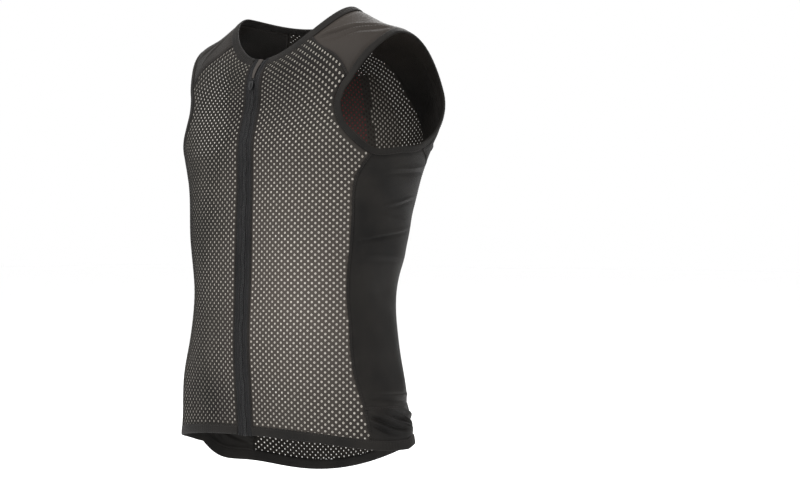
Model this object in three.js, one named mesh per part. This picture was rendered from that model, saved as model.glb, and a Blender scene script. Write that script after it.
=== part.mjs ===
// Sleeveless protective under-vest with a soft back protector, worn form, millimetres, +Z up.
// Front is -Y, the wearer's left is +X, and the origin lies between the shoulders, 24 mm under
// the neck points. The cloth follows one surface: rings from the hem to the neck, each a
// superellipse with its own front and back depth, that rise over the shoulders at the sides.
// A place on it is { around, up }: around is degrees (-90 the zip, 0 the wearer's left side,
// 90 the centre back), up runs from 0 at the hem to 1 at the neck edge.
import * as THREE from 'three';

// Lengths down from the neck points
const neckPointHeight = 24;
const frontLength = 601;
const sideLength = 620;
const backLength = 669;
const frontNeckDrop = 74;
const backNeckDrop = 18;

// The hem hangs lower on the wearer's right: all of it by the lean, the tail by the skew as well,
// and its rear corner by the drop
const hemLean = 5;
const tailSkew = 15;
const hemDrop = 22;
const hemDropAt = 162;
const hemDropTurn = 22;
const hemReach = 0.4;

// The back sits turned towards the wearer's right, in degrees at its middle
const backTurn = [
  { up: 0, turn: -4 },
  { up: 0.2, turn: -3 },
  { up: 0.45, turn: 4 },
  { up: 0.65, turn: 10 },
  { up: 0.86, turn: 10 },
  { up: 1, turn: 5 },
];

// Half widths and depths of the worn form
const neckHalfWidth = 99;
const shoulderHalfWidth = 211;
const chestHalfWidth = 197;
const waistHalfWidth = 161;
const hemHalfWidth = 198;
const neckFrontDepth = 81;
const chestFrontDepth = 118;
const bellyDepth = 123;
const neckBackDepth = 44;
const bladeDepth = 148;
const lumbarDepth = 78;
const hemBackDepth = 86;

// Cloth, bands and clearances
const netThickness = 2;
const stretchClothThickness = 1.6;
const bandThickness = 2.8;
const armholeBandWidth = 9;
const neckBandWidth = 13;
const hemBandWidth = 14;
const seamGap = 0.5;
const layerGap = 0.9;

// Zip
const zipWidth = 27;
const zipChainWidth = 7;
const zipChainThickness = 3.2;
const zipTapeThickness = 2.2;
const zipMouthWidth = 16;
const zipFlapMargin = 1.2;
const zipSliderHeight = 12;
const zipSliderWidth = 9;
const zipSliderThickness = 3;
const zipSliderAt = 0.9;
const zipSliderDrop = 10;
const zipRowClearance = 0.01;
const zipFlapTaper = 0.025;

// Back protector
const padWidth = 204;
const padStripWidth = 98;
const padThickness = 21;
const padUpperThickness = 16;
const padWindowThickness = 11;
const padEdgeThickness = 6;
const padTopAt = 0.9;
const padSeamAt = 0.7;
const padCornerTopAt = 0.86;
const padWindowFootAt = 0.53;
const padWaistAt = 0.51;
const padRoundedAt = 0.14;
const padBottomAt = 0.105;

// Neck label inside, and the woven tab outside between the neck band and the pad
const tabWidth = 34;
const tabThickness = 1.2;
const labelWidth = 27;
const labelLength = 40;
const labelThickness = 0.8;
const labelDrop = 3;
const tabClearance = 2.5;

const neckFrontHeight = neckPointHeight - frontNeckDrop;
const neckBackHeight = neckPointHeight - backNeckDrop;
const frontFall = frontLength - frontNeckDrop;
const backFall = backLength - backNeckDrop;

// Rings of the worn form: front, side and back are shares of the fall from the neck to the hem,
// squareFront and squareBack are the superellipse exponents.
const rings = [
  { name: 'hem', up: 0, front: 1, side: 1, back: 1,
    halfWidth: hemHalfWidth, frontDepth: bellyDepth * 0.95, backDepth: hemBackDepth,
    squareFront: 2.44, squareBack: 2 },
  { name: 'hip', up: 0.1, front: 0.888, side: 0.884, back: 0.869,
    halfWidth: hemHalfWidth * 0.93, frontDepth: bellyDepth * 0.975, backDepth: hemBackDepth * 0.93,
    squareFront: 2.45, squareBack: 2.05 },
  { name: 'belly', up: 0.21, front: 0.759, side: 0.767, back: 0.719,
    halfWidth: waistHalfWidth * 1.05, frontDepth: bellyDepth, backDepth: lumbarDepth,
    squareFront: 2.5, squareBack: 2.05 },
  { name: 'waist', up: 0.32, front: 0.636, side: 0.659, back: 0.601,
    halfWidth: waistHalfWidth, frontDepth: bellyDepth, backDepth: lumbarDepth * 1.13,
    squareFront: 2.45, squareBack: 2.05 },
  { name: 'ribs', up: 0.46, front: 0.474, side: 0.521, back: 0.47,
    halfWidth: waistHalfWidth * 1.08, frontDepth: bellyDepth * 0.99, backDepth: bladeDepth * 0.78,
    squareFront: 2.4, squareBack: 2.1 },
  { name: 'chest', up: 0.58, front: 0.332, side: 0.403, back: 0.355,
    halfWidth: chestHalfWidth * 0.92, frontDepth: chestFrontDepth, backDepth: bladeDepth * 0.93,
    squareFront: 2.35, squareBack: 2.24 },
  { name: 'armpit', up: 0.68, front: 0.224, side: 0.305, back: 0.27,
    halfWidth: chestHalfWidth, frontDepth: chestFrontDepth * 0.99, backDepth: bladeDepth * 0.985,
    squareFront: 2.33, squareBack: 2.32 },
  { name: 'blades', up: 0.78, front: 0.129, side: 0.192, back: 0.178,
    halfWidth: shoulderHalfWidth, frontDepth: chestFrontDepth * 0.88, backDepth: bladeDepth,
    squareFront: 2.15, squareBack: 2.42 },
  { name: 'tip', up: 0.87, front: 0.072, side: 0.073, back: 0.094,
    halfWidth: shoulderHalfWidth * 0.89, frontDepth: chestFrontDepth * 0.86,
    backDepth: bladeDepth * 0.825, squareFront: 1.85, squareBack: 2.4 },
  { name: 'ridge', up: 0.94, front: 0.034, side: 0.038, back: 0.04,
    halfWidth: shoulderHalfWidth * 0.665, frontDepth: neckFrontDepth * 1.18,
    backDepth: bladeDepth * 0.54, squareFront: 1.85, squareBack: 2.14 },
  { name: 'neck', up: 1, front: 0, side: 0, back: 0,
    halfWidth: neckHalfWidth, frontDepth: neckFrontDepth, backDepth: neckBackDepth,
    squareFront: 1.9, squareBack: 2 },
];

// Soft folds of the worn cloth: a ridge along a line through around and up, turned by slant
// degrees from upright, length and width in mm, height out of the surface in mm.
const folds = [
  { around: 8, up: 0.595, slant: -78, length: 70, width: 16, height: 3.5 },
  { around: 14, up: 0.53, slant: -70, length: 80, width: 15, height: -3 },
  { around: 6, up: 0.42, slant: -74, length: 80, width: 16, height: 3 },
  { around: 0, up: 0.33, slant: -60, length: 70, width: 16, height: -3 },
  { around: -4, up: 0.1, slant: 62, length: 80, width: 13, height: 4 },
  { around: 4, up: 0.06, slant: 58, length: 90, width: 13, height: -3.5 },
  { around: -30, up: 0.9, slant: 35, length: 70, width: 14, height: 3 },
  { around: 36, up: 0.74, slant: 25, length: 80, width: 16, height: -4 },
  { around: -90, up: 0.2, slant: 8, length: 150, width: 26, height: 3 },
  { around: -84, up: 0.4, slant: -6, length: 150, width: 26, height: -3 },
  { around: 188, up: 0.595, slant: 76, length: 70, width: 16, height: 3.5 },
  { around: 176, up: 0.42, slant: 70, length: 80, width: 16, height: -3 },
  { around: 180, up: 0.24, slant: 60, length: 90, width: 18, height: 4 },
  { around: 214, up: 0.13, slant: -20, length: 120, width: 24, height: 5 },
  { around: 210, up: 0.9, slant: -35, length: 70, width: 14, height: -2 },
  { around: 25, up: 0.735, slant: 4, length: 120, width: 28, height: 9 },
  { around: 155, up: 0.735, slant: -4, length: 120, width: 28, height: 4 },
];

// Edge of the left armhole, forward edge first, over the shoulder and back under the arm
const armholeEdge = [
  { around: -42, up: 0.812 },
  { around: -31, up: 0.845 },
  { around: -16, up: 0.866 },
  { around: 3, up: 0.876 },
  { around: 15, up: 0.868 },
  { around: 21.5, up: 0.838 },
  { around: 24, up: 0.785 },
  { around: 22.5, up: 0.735 },
  { around: 19, up: 0.7 },
  { around: 11, up: 0.674 },
  { around: -5, up: 0.66 },
  { around: -24, up: 0.657 },
  { around: -37, up: 0.688 },
  { around: -46, up: 0.725 },
  { around: -49, up: 0.758 },
  { around: -47, up: 0.79 },
];
const armholeRearMark = 9;
const armholeFrontMark = 11;

// Seams on the left half, from the hem up or from the neck out
const frontSideSeam = [
  { around: -25.5, up: 0 },
  { around: -27, up: 0.08 },
  { around: -29.5, up: 0.15 },
  { around: -28, up: 0.27 },
  { around: -30, up: 0.4 },
  { around: -31, up: 0.5 },
  { around: -30.5, up: 0.6 },
];
const backSideSeam = [
  { around: 40, up: 0 },
  { around: 40, up: 0.18 },
  { around: 35, up: 0.39 },
  { around: 29.5, up: 0.52 },
  { around: 28, up: 0.625 },
];
const frontYokeSeam = [
  { around: -47, up: 1 },
  { around: -46.5, up: 0.93 },
  { around: -45.5, up: 0.87 },
];
const backYokeSeam = [
  { around: 62, up: 1 },
  { around: 62, up: 0.93 },
  { around: 61, up: 0.86 },
  { around: 57, up: 0.79 },
  { around: 47, up: 0.72 },
  { around: 35, up: 0.665 },
  { around: 28, up: 0.625 },
];

// Facets along each edge that two pieces share
const seamSteps = 14;
const armholeFrontSteps = 8;
const armholeUnderSteps = 6;
const frontShoulderSteps = 8;
const backShoulderSteps = 4;
const backYokeSteps = 7;
const shortSeamSteps = 6;
const frontSteps = 10;
const backSteps = 18;
const lowerPadSteps = 10;
const lowerPadRows = 8;
const upperPadSteps = 8;
const upperPadTopRows = 2;
const windowSteps = 4;
const labelSteps = 3;

const armholeYokeSteps = frontShoulderSteps + backShoulderSteps + backYokeSteps;

// Cubic curve through the knots with three-point slopes, read at x
function interpolate(knots, values, x) {
  const last = knots.length - 1;
  let k = 0;
  while (k < last - 1 && x > knots[k + 1]) k += 1;
  const slopeBetween = (i) => (values[i + 1] - values[i]) / (knots[i + 1] - knots[i]);
  const slopeAt = (i) => {
    if (i === 0) return slopeBetween(0);
    if (i === last) return slopeBetween(last - 1);
    const before = knots[i] - knots[i - 1];
    const after = knots[i + 1] - knots[i];
    return (after * slopeBetween(i - 1) + before * slopeBetween(i)) / (before + after);
  };
  const h = knots[k + 1] - knots[k];
  const t = (x - knots[k]) / h;
  return (2 * t ** 3 - 3 * t ** 2 + 1) * values[k] + (t ** 3 - 2 * t ** 2 + t) * h * slopeAt(k)
    + (3 * t ** 2 - 2 * t ** 3) * values[k + 1] + (t ** 3 - t ** 2) * h * slopeAt(k + 1);
}

const ringKnots = rings.map((ring) => ring.up);

function ringValue(column, up) {
  return interpolate(ringKnots, rings.map((ring) => ring[column]), up);
}

const turnKnots = backTurn.map((row) => row.up);
const turns = backTurn.map((row) => row.turn);

// Smooth form without folds; places behind the sides are turned with the sine of their angle
function plainForm(place, up) {
  const behind = Math.max(Math.sin(THREE.MathUtils.degToRad(place)), 0);
  const around = place + behind * interpolate(turnKnots, turns, up);
  const angle = THREE.MathUtils.degToRad(around);
  const c = Math.cos(angle);
  const s = Math.sin(angle);
  const forward = s < 0;
  const power = 2 / ringValue(forward ? 'squareFront' : 'squareBack', up);
  const depth = ringValue(forward ? 'frontDepth' : 'backDepth', up);
  const sideHeight = neckPointHeight - sideLength * ringValue('side', up);
  const endHeight = forward
    ? neckFrontHeight - frontFall * ringValue('front', up)
    : neckBackHeight - backFall * ringValue('back', up);
  const hang = Math.max(1 - up / hemReach, 0) ** 1.5;
  const fromDrop = around - hemDropAt - 360 * Math.round((around - hemDropAt) / 360);
  const drop = hemDrop * Math.exp(-((fromDrop / hemDropTurn) ** 2));
  const lean = hang * (c * (hemLean + (forward ? 0 : 2 * tailSkew * s)) - drop);
  return new THREE.Vector3(
    ringValue('halfWidth', up) * Math.sign(c) * Math.abs(c) ** power,
    depth * Math.sign(s) * Math.abs(s) ** power,
    sideHeight + (endHeight - sideHeight) * s * s + lean,
  );
}

// Steps along around and up, in mm per degree and mm per unit
function steps(around, up, form, turn = 0.5) {
  const rise = 0.004;
  const low = Math.max(up - rise, 0);
  const high = Math.min(up + rise, 1);
  const alongAround = form(around + turn, up).sub(form(around - turn, up)).divideScalar(2 * turn);
  const alongUp = form(around, high).sub(form(around, low)).divideScalar(high - low);
  return { alongAround, alongUp };
}

function outward(around, up, form) {
  const { alongAround, alongUp } = steps(around, up, form);
  return alongAround.cross(alongUp).normalize();
}

// Each fold with the mm that a degree and a unit of up take at its middle
const foldTurn = 5;
const foldLines = folds.map((fold) => {
  const { alongAround, alongUp } = steps(fold.around, fold.up, plainForm, foldTurn);
  return { ...fold, degree: alongAround.length(), unit: alongUp.length() };
});

// A fold's share of its height at a place: a bell across its line and along it
function foldShare(fold, around, up) {
  const turn = around - fold.around;
  const across = (turn - 360 * Math.round(turn / 360)) * fold.degree;
  const rise = (up - fold.up) * fold.unit;
  const slant = THREE.MathUtils.degToRad(fold.slant);
  const along = rise * Math.cos(slant) + across * Math.sin(slant);
  const aside = across * Math.cos(slant) - rise * Math.sin(slant);
  return Math.exp(-((2 * along / fold.length) ** 2) - (aside / fold.width) ** 2);
}

function wornForm(around, up) {
  const lift = foldLines.reduce((sum, fold) => sum + fold.height * foldShare(fold, around, up), 0);
  return plainForm(around, up).addScaledVector(outward(around, up, plainForm), lift);
}

function distance(a, b) {
  return plainForm(a.around, a.up).distanceTo(plainForm(b.around, b.up));
}

function between(a, b, share) {
  return { around: a.around + (b.around - a.around) * share, up: a.up + (b.up - a.up) * share };
}

// Evenly spaced places on a smooth line through the knots
function smoothLine(knots, count) {
  const along = [0];
  for (let i = 1; i < knots.length; i += 1) along.push(along[i - 1] + distance(knots[i - 1], knots[i]));
  const arounds = knots.map((knot) => knot.around);
  const ups = knots.map((knot) => knot.up);
  return Array.from({ length: count + 1 }, (_, i) => {
    const x = (along[along.length - 1] * i) / count;
    return { around: interpolate(along, arounds, x), up: interpolate(along, ups, x) };
  });
}

// Place a given number of mm away, in the direction that leaves the line through the place
function beside(place, before, after, mm) {
  const { alongAround, alongUp } = steps(place.around, place.up, plainForm);
  const here = plainForm(before.around, before.up);
  const along = plainForm(after.around, after.up).sub(here).normalize();
  const away = along.cross(outward(place.around, place.up, plainForm)).normalize().multiplyScalar(mm);
  const aa = alongAround.dot(alongAround);
  const uu = alongUp.dot(alongUp);
  const au = alongAround.dot(alongUp);
  const a = alongAround.dot(away);
  const u = alongUp.dot(away);
  const whole = aa * uu - au * au;
  return { around: place.around + (a * uu - u * au) / whole, up: place.up + (u * aa - a * au) / whole };
}

// Closed smooth edge, cut at its marks into runs of so many steps
function closedRuns(knots, marks, counts) {
  const size = knots.length;
  const wrapped = [...knots.slice(size - 3), ...knots, ...knots.slice(0, 4)];
  const along = [0];
  for (let i = 1; i < wrapped.length; i += 1) {
    along.push(along[i - 1] + distance(wrapped[i - 1], wrapped[i]));
  }
  const arounds = wrapped.map((knot) => knot.around);
  const ups = wrapped.map((knot) => knot.up);
  const ends = [...marks, size].map((mark) => along[mark + 3]);
  return counts.map((count, run) => Array.from({ length: count + 1 }, (_, i) => {
    const x = ends[run] + ((ends[run + 1] - ends[run]) * i) / count;
    return { around: interpolate(along, arounds, x), up: interpolate(along, ups, x) };
  }));
}

// Grid of places between four edges with shared corners; bottom and top run along, left and right up
function patch(bottom, top, left, right) {
  const columns = bottom.length - 1;
  const rows = left.length - 1;
  return left.map((_, j) => bottom.map((__, i) => {
    const s = i / columns;
    const t = j / rows;
    const place = {};
    for (const key of ['around', 'up']) {
      place[key] = (1 - t) * bottom[i][key] + t * top[i][key] + (1 - s) * left[j][key] + s * right[j][key]
        - (1 - s) * (1 - t) * bottom[0][key] - s * (1 - t) * bottom[columns][key]
        - (1 - s) * t * top[0][key] - s * t * top[columns][key];
    }
    return place;
  }));
}

// Draws the border rows and columns of a grid in by half the seam gap
function drawIn(grid, closed) {
  const rows = grid.length - 1;
  const columns = grid[0].length - 1;
  const toward = (a, b) => between(a, b, seamGap / 2 / distance(a, b));
  const drawn = grid.map((row) => row.map((place) => ({ ...place })));
  for (let i = 0; i <= columns; i += 1) {
    drawn[0][i] = toward(grid[0][i], grid[1][i]);
    drawn[rows][i] = toward(grid[rows][i], grid[rows - 1][i]);
  }
  if (closed) return drawn;
  return drawn.map((row) => {
    const line = row.map((place) => ({ ...place }));
    line[0] = toward(row[0], row[1]);
    line[columns] = toward(row[columns], row[columns - 1]);
    return line;
  });
}

// Closed mesh of a grid of places: base is the height of its inner face over the form, and
// thickness(i, j) its wall there; the right side splits its facets the other way
function wall(grid, base, thickness, { closed = false, rightSide = false } = {}) {
  const rows = grid.length;
  const columns = grid[0].length;
  const points = [];
  for (const side of [0, 1]) {
    grid.forEach((row, j) => row.forEach((place, i) => {
      const height = base + side * thickness(i, j);
      const point = wornForm(place.around, place.up);
      points.push(point.addScaledVector(outward(place.around, place.up, wornForm), height));
    }));
  }
  const face = rows * columns;
  const at = (side, i, j) => side * face + j * columns + (i % columns);
  const index = [];
  const split = (a, b, c, d) => index.push(a, b, c, a, c, d);
  const quad = (a, b, c, d) => (rightSide ? split(b, c, d, a) : split(a, b, c, d));
  const spans = closed ? columns : columns - 1;
  for (let j = 0; j < rows - 1; j += 1) {
    for (let i = 0; i < spans; i += 1) {
      quad(at(1, i, j), at(1, i + 1, j), at(1, i + 1, j + 1), at(1, i, j + 1));
      quad(at(0, i, j), at(0, i, j + 1), at(0, i + 1, j + 1), at(0, i + 1, j));
    }
  }
  const top = rows - 1;
  for (let i = 0; i < spans; i += 1) {
    quad(at(0, i, 0), at(0, i + 1, 0), at(1, i + 1, 0), at(1, i, 0));
    quad(at(0, i, top), at(1, i, top), at(1, i + 1, top), at(0, i + 1, top));
  }
  const end = columns - 1;
  for (let j = 0; j < top && !closed; j += 1) {
    split(at(0, 0, j), at(1, 0, j), at(1, 0, j + 1), at(0, 0, j + 1));
    split(at(0, end, j), at(0, end, j + 1), at(1, end, j + 1), at(1, end, j));
  }
  const numbers = points.flatMap((point) => point.toArray());
  const geometry = new THREE.BufferGeometry();
  geometry.setAttribute('position', new THREE.Float32BufferAttribute(numbers, 3));
  geometry.setIndex(index);
  geometry.computeVertexNormals();
  return geometry;
}

function cloth(colour, roughness, metalness = 0) {
  return new THREE.MeshStandardMaterial({ color: colour, roughness, metalness });
}

const net = cloth(0x33312f, 0.85);
const stretchCloth = cloth(0x2b2a29, 0.7);
const bandCloth = cloth(0x242322, 0.75);
const zipCloth = cloth(0x1d1d1f, 0.6);
const zipMoulding = cloth(0x18181a, 0.35);
const padCloth = cloth(0x222326, 0.8);
const redMesh = cloth(0x5a2527, 0.85);
const paleSatin = cloth(0xb9b8b4, 0.5);

const vest = new THREE.Group();

function add(name, geometry, material) {
  const mesh = new THREE.Mesh(geometry, material);
  mesh.name = name;
  vest.add(mesh);
}

// The same places on the wearer's right: mirrored, with each row turned round
function mirrored(grid, closed = false) {
  return grid.map((row) => {
    const line = row.map(({ around, up }) => ({ around: 180 - around, up })).reverse();
    return closed ? [line[line.length - 1], ...line.slice(0, -1)] : line;
  });
}

function addPair(name, grid, base, thickness, material, closed = false) {
  add(`${name}_left`, wall(grid, base, thickness, { closed }), material);
  const flipped = closed ? thickness : (i, j) => thickness(grid[0].length - 1 - i, j);
  const right = wall(mirrored(grid, closed), base, flipped, { closed, rightSide: true });
  add(`${name}_right`, right, material);
}

// Share of up that an upright length in mm takes at a place
function riseFor(mm, around, up) {
  return mm / steps(around, up, plainForm).alongUp.length();
}

// Both halves take the band's height from the wearer's left, so their edges have the same places
function hemBandTop(around) {
  return riseFor(hemBandWidth, around > 90 ? 180 - around : around, 0);
}

function neckBandBottom(around) {
  return 1 - riseFor(neckBandWidth, around, 1);
}

// Degrees that a sideways length in mm takes beside the zip line or the centre back
function turnFor(mm, up, square) {
  const share = (Math.abs(mm) / ringValue('halfWidth', up)) ** (ringValue(square, up) / 2);
  return Math.sign(mm) * THREE.MathUtils.radToDeg(Math.asin(share));
}

// Armhole: the edge itself, and the line where its band ends
const armholeRuns = closedRuns(
  armholeEdge,
  [0, armholeRearMark, armholeFrontMark],
  [armholeYokeSteps, armholeUnderSteps, armholeFrontSteps],
);
const armholeLoop = armholeRuns.flatMap((run) => run.slice(0, -1));
const bandEnd = armholeLoop.map((place, i) => {
  const before = armholeLoop[(i + armholeLoop.length - 1) % armholeLoop.length];
  const after = armholeLoop[(i + 1) % armholeLoop.length];
  return beside(place, before, after, -armholeBandWidth);
});
const loopPart = (from, count) => Array.from(
  { length: count + 1 },
  (_, i) => bandEnd[(from + i) % bandEnd.length],
);
const yokeEdge = loopPart(0, armholeYokeSteps);
const underEdge = loopPart(armholeYokeSteps, armholeUnderSteps);
const chestEdge = loopPart(armholeYokeSteps + armholeUnderSteps, armholeFrontSteps);
const yokeFrontCorner = yokeEdge[0];
const yokeRearCorner = yokeEdge[armholeYokeSteps];
const underArmCorner = underEdge[armholeUnderSteps];

// Seams, each sampled once and used by both cloths that meet there
const startOn = (band, knots) => [{ around: knots[0].around, up: band(knots[0].around) }, ...knots.slice(1)];
const frontSide = smoothLine([...startOn(hemBandTop, frontSideSeam), underArmCorner], seamSteps);
const backSide = smoothLine(startOn(hemBandTop, backSideSeam), seamSteps);
const frontYoke = smoothLine([...startOn(neckBandBottom, frontYokeSeam), yokeFrontCorner], shortSeamSteps);
const backYoke = smoothLine(startOn(neckBandBottom, backYokeSeam), backYokeSteps);
const bladeCorner = backSide[seamSteps];
const shortSeam = Array.from(
  { length: shortSeamSteps + 1 },
  (_, i) => between(yokeRearCorner, bladeCorner, i / shortSeamSteps),
);

const arc = (from, to, count, height) => Array.from({ length: count + 1 }, (_, i) => {
  const around = from + ((to - from) * i) / count;
  return { around, up: height(around) };
});
const zipEdge = (up, mm) => ({ around: -90 + turnFor(mm, up, 'squareFront'), up });

// Edges of the front net: its rows lie level, so the zip edge has the heights of the side
const frontNetRight = [...frontSide, ...chestEdge.slice(1), ...[...frontYoke].reverse().slice(1)];
const zipRows = frontNetRight.map(({ up }) => up);
zipRows[0] = hemBandTop(-90);
zipRows[zipRows.length - 1] = neckBandBottom(-90);
const zipSide = zipRows.map((up) => zipEdge(up, zipWidth / 2));
zipSide[0].up = hemBandTop(zipSide[0].around);
zipSide[zipSide.length - 1].up = neckBandBottom(zipSide[zipSide.length - 1].around);

// Edges on the hem band and on the neck band
const underColumns = armholeUnderSteps + shortSeamSteps;
const neckPointAround = 0;
const frontHem = arc(zipSide[0].around, frontSide[0].around, frontSteps, hemBandTop);
const sideHem = arc(frontSide[0].around, backSide[0].around, underColumns, hemBandTop);
const backHem = arc(backSide[0].around, 180 - backSide[0].around, backSteps, hemBandTop);
const frontNeck = arc(zipSide[zipSide.length - 1].around, frontYoke[0].around, frontSteps, neckBandBottom);
const yokeNeck = [
  ...arc(frontYoke[0].around, neckPointAround, frontShoulderSteps, neckBandBottom),
  ...arc(neckPointAround, backYoke[0].around, backShoulderSteps, neckBandBottom).slice(1),
];
const backNeck = arc(backYoke[0].around, 180 - backYoke[0].around, backSteps, neckBandBottom);

// Net fronts, yokes and side panels
const evenly = (thickness) => () => thickness;
const netWall = evenly(netThickness);
const stretchWall = evenly(stretchClothThickness);
const bandWall = evenly(bandThickness);
const frontNet = patch(frontHem, frontNeck, zipSide, frontNetRight);
addPair('front_mesh', drawIn(frontNet), -netThickness, netWall, net);

const yoke = patch(yokeEdge, [...yokeNeck, ...backYoke.slice(1)], [...frontYoke].reverse(), shortSeam);
addPair('yoke', drawIn(yoke), -stretchClothThickness, stretchWall, stretchCloth);

const sideTop = [...underEdge].reverse().concat(shortSeam.slice(1));
const sidePanel = patch(sideHem, sideTop, frontSide, backSide);
addPair('side_panel', drawIn(sidePanel), -stretchClothThickness, stretchWall, stretchCloth);

// Back net in one piece between the two back seams
const backLeftEdge = [...backSide, ...[...backYoke].reverse().slice(1)];
const backRightEdge = backLeftEdge.map(({ around, up }) => ({ around: 180 - around, up }));
const backNet = patch(backHem, backNeck, backLeftEdge, backRightEdge);
add('back_mesh', wall(drawIn(backNet), -netThickness, netWall), net);

// Sewn bands: armholes, neck and hem
const bandBase = -(bandThickness + netThickness) / 2;
addPair('armhole_binding', drawIn([armholeLoop, bandEnd], true), bandBase, bandWall, bandCloth, true);

const mirrorLine = (line) => line.map(({ around, up }) => ({ around: 180 - around, up })).reverse();
const wholeRound = (parts) => parts.reduce((all, part) => all.concat(part.slice(1)));
const unrolled = (line) => line.map((place, i) => ({
  up: place.up,
  around: i > 0 && place.around < line[0].around ? place.around + 360 : place.around,
}));
const neckLeft = [frontNeck, yokeNeck, backNeck];
const neckEdge = unrolled(wholeRound([...neckLeft, mirrorLine(yokeNeck), mirrorLine(frontNeck)]));
const hemLeft = [frontHem, sideHem, backHem];
const hemEdge = unrolled(wholeRound([...hemLeft, mirrorLine(sideHem), mirrorLine(frontHem)]));
const outerEdge = (line, up) => [
  zipEdge(up, zipWidth / 2),
  ...line.slice(1, -1).map(({ around }) => ({ around, up })),
  { around: 360 + zipEdge(up, -zipWidth / 2).around, up },
];
const neckBand = [neckEdge, outerEdge(neckEdge, 1)];
const hemBand = [outerEdge(hemEdge, 0), hemEdge];
add('neck_binding', wall(drawIn(neckBand), bandBase, bandWall), bandCloth);
add('hem_binding', wall(drawIn(hemBand), bandBase, bandWall), bandCloth);

// Zip: two tapes that part above the slider, the closed chain below it and a tongue in the gap
const zipUps = [0, ...zipRows, 1];
const chainHalf = zipChainWidth / 2;
const mouthHalfWidth = (up) => {
  const share = Math.max((up - zipSliderAt) / (1 - zipSliderAt), 0);
  return chainHalf + (zipMouthWidth / 2 - chainHalf) * share;
};
const tape = zipUps.map((up) => [zipEdge(up, mouthHalfWidth(up)), zipEdge(up, zipWidth / 2)]);
addPair('zip_tape', drawIn(tape), -zipTapeThickness, evenly(zipTapeThickness), zipCloth);

const chainUps = [...zipUps.filter((up) => up < zipSliderAt - zipRowClearance), zipSliderAt];
const chain = chainUps.map((up) => [zipEdge(up, -chainHalf), zipEdge(up, chainHalf)]);
add('zip_chain', wall(drawIn(chain), -zipTapeThickness, evenly(zipChainThickness)), zipMoulding);

const flapUps = [zipSliderAt, ...zipUps.filter((up) => up > zipSliderAt + zipRowClearance)];
const flap = flapUps.map((up) => {
  const half = mouthHalfWidth(up) - zipFlapMargin * Math.min(1, (up - zipSliderAt) / zipFlapTaper);
  return [zipEdge(up, -half), zipEdge(up, half)];
});
add('zip_flap', wall(drawIn(flap), -zipTapeThickness, evenly(zipTapeThickness)), stretchCloth);

// Slider: a rounded block flat on the chain
const sliderShape = new THREE.Shape();
const sliderCorner = zipSliderWidth / 4;
sliderShape.moveTo(-zipSliderWidth / 2 + sliderCorner, -zipSliderHeight / 2);
sliderShape.lineTo(zipSliderWidth / 2 - sliderCorner, -zipSliderHeight / 2);
sliderShape.lineTo(zipSliderWidth / 2, 0);
sliderShape.lineTo(zipSliderWidth / 2 - sliderCorner / 2, zipSliderHeight / 2);
sliderShape.lineTo(-zipSliderWidth / 2 + sliderCorner / 2, zipSliderHeight / 2);
sliderShape.lineTo(-zipSliderWidth / 2, 0);
sliderShape.closePath();
const sliderGeometry = new THREE.ExtrudeGeometry(
  sliderShape,
  { depth: zipSliderThickness, bevelEnabled: false },
);
const sliderUp = zipSliderAt - riseFor(zipSliderDrop, -90, zipSliderAt);
const sliderOut = outward(-90, sliderUp, wornForm);
const sliderRise = steps(-90, sliderUp, wornForm).alongUp.normalize();
const sliderAcross = new THREE.Vector3().crossVectors(sliderRise, sliderOut);
const sliderTurn = new THREE.Matrix4().makeBasis(sliderAcross, sliderRise, sliderOut);
const sliderFoot = zipChainThickness - zipTapeThickness + layerGap;
const slider = new THREE.Mesh(sliderGeometry, zipMoulding);
slider.name = 'zip_slider';
slider.quaternion.setFromRotationMatrix(sliderTurn);
slider.position.copy(wornForm(-90, sliderUp)).addScaledVector(sliderOut, sliderFoot);
vest.add(slider);

// Back protector: a middle strip that widens below the seam, red windows and gathered corners
const padRow = (up, from, to, count) => Array.from(
  { length: count + 1 },
  (_, i) => ({ around: 90 + turnFor(from + ((to - from) * i) / count, up, 'squareBack'), up }),
);
const crown = (columns, rows, most) => (i, j) => {
  const rim = Math.sin((Math.PI * i) / columns) * Math.sin((Math.PI * j) / rows);
  return padEdgeThickness + (most - padEdgeThickness) * Math.sqrt(Math.max(rim, 0));
};

// Half widths are shares of the strip for the middle and of the pad for the whole
const padOutline = [
  { up: padBottomAt, strip: 0.9, whole: 0.43 },
  { up: padBottomAt + (padRoundedAt - padBottomAt) / 3, strip: 1.23, whole: 0.59 },
  { up: padRoundedAt, strip: 1.46, whole: 0.7 },
  { up: 0.22, strip: 1.6, whole: 0.77 },
  { up: 0.34, strip: 1.77, whole: 0.85 },
  { up: 0.44, strip: 1.96, whole: 0.94 },
  { up: padWaistAt, strip: 1.98, whole: 0.98 },
  { up: 0.565, strip: 1.5, whole: 1 },
  { up: 0.63, strip: 1.17, whole: 1 },
  { up: padSeamAt, strip: 1, whole: 1 },
  { up: 0.78, strip: 0.95, whole: 0.9 },
  { up: 0.84, strip: 0.93, whole: 0.72 },
  { up: padTopAt, strip: 0.92, whole: 0.56 },
];
const padValue = (column, up) => interpolate(
  padOutline.map((row) => row.up),
  padOutline.map((row) => row[column]),
  up,
);
const stripHalf = (up) => (padValue('strip', up) * padStripWidth) / 2;
const wholeHalf = (up) => (padValue('whole', up) * padWidth) / 2;
const rowsBetween = (low, high, count) => Array.from(
  { length: count + 1 },
  (_, j) => low + ((high - low) * j) / count,
);

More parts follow.
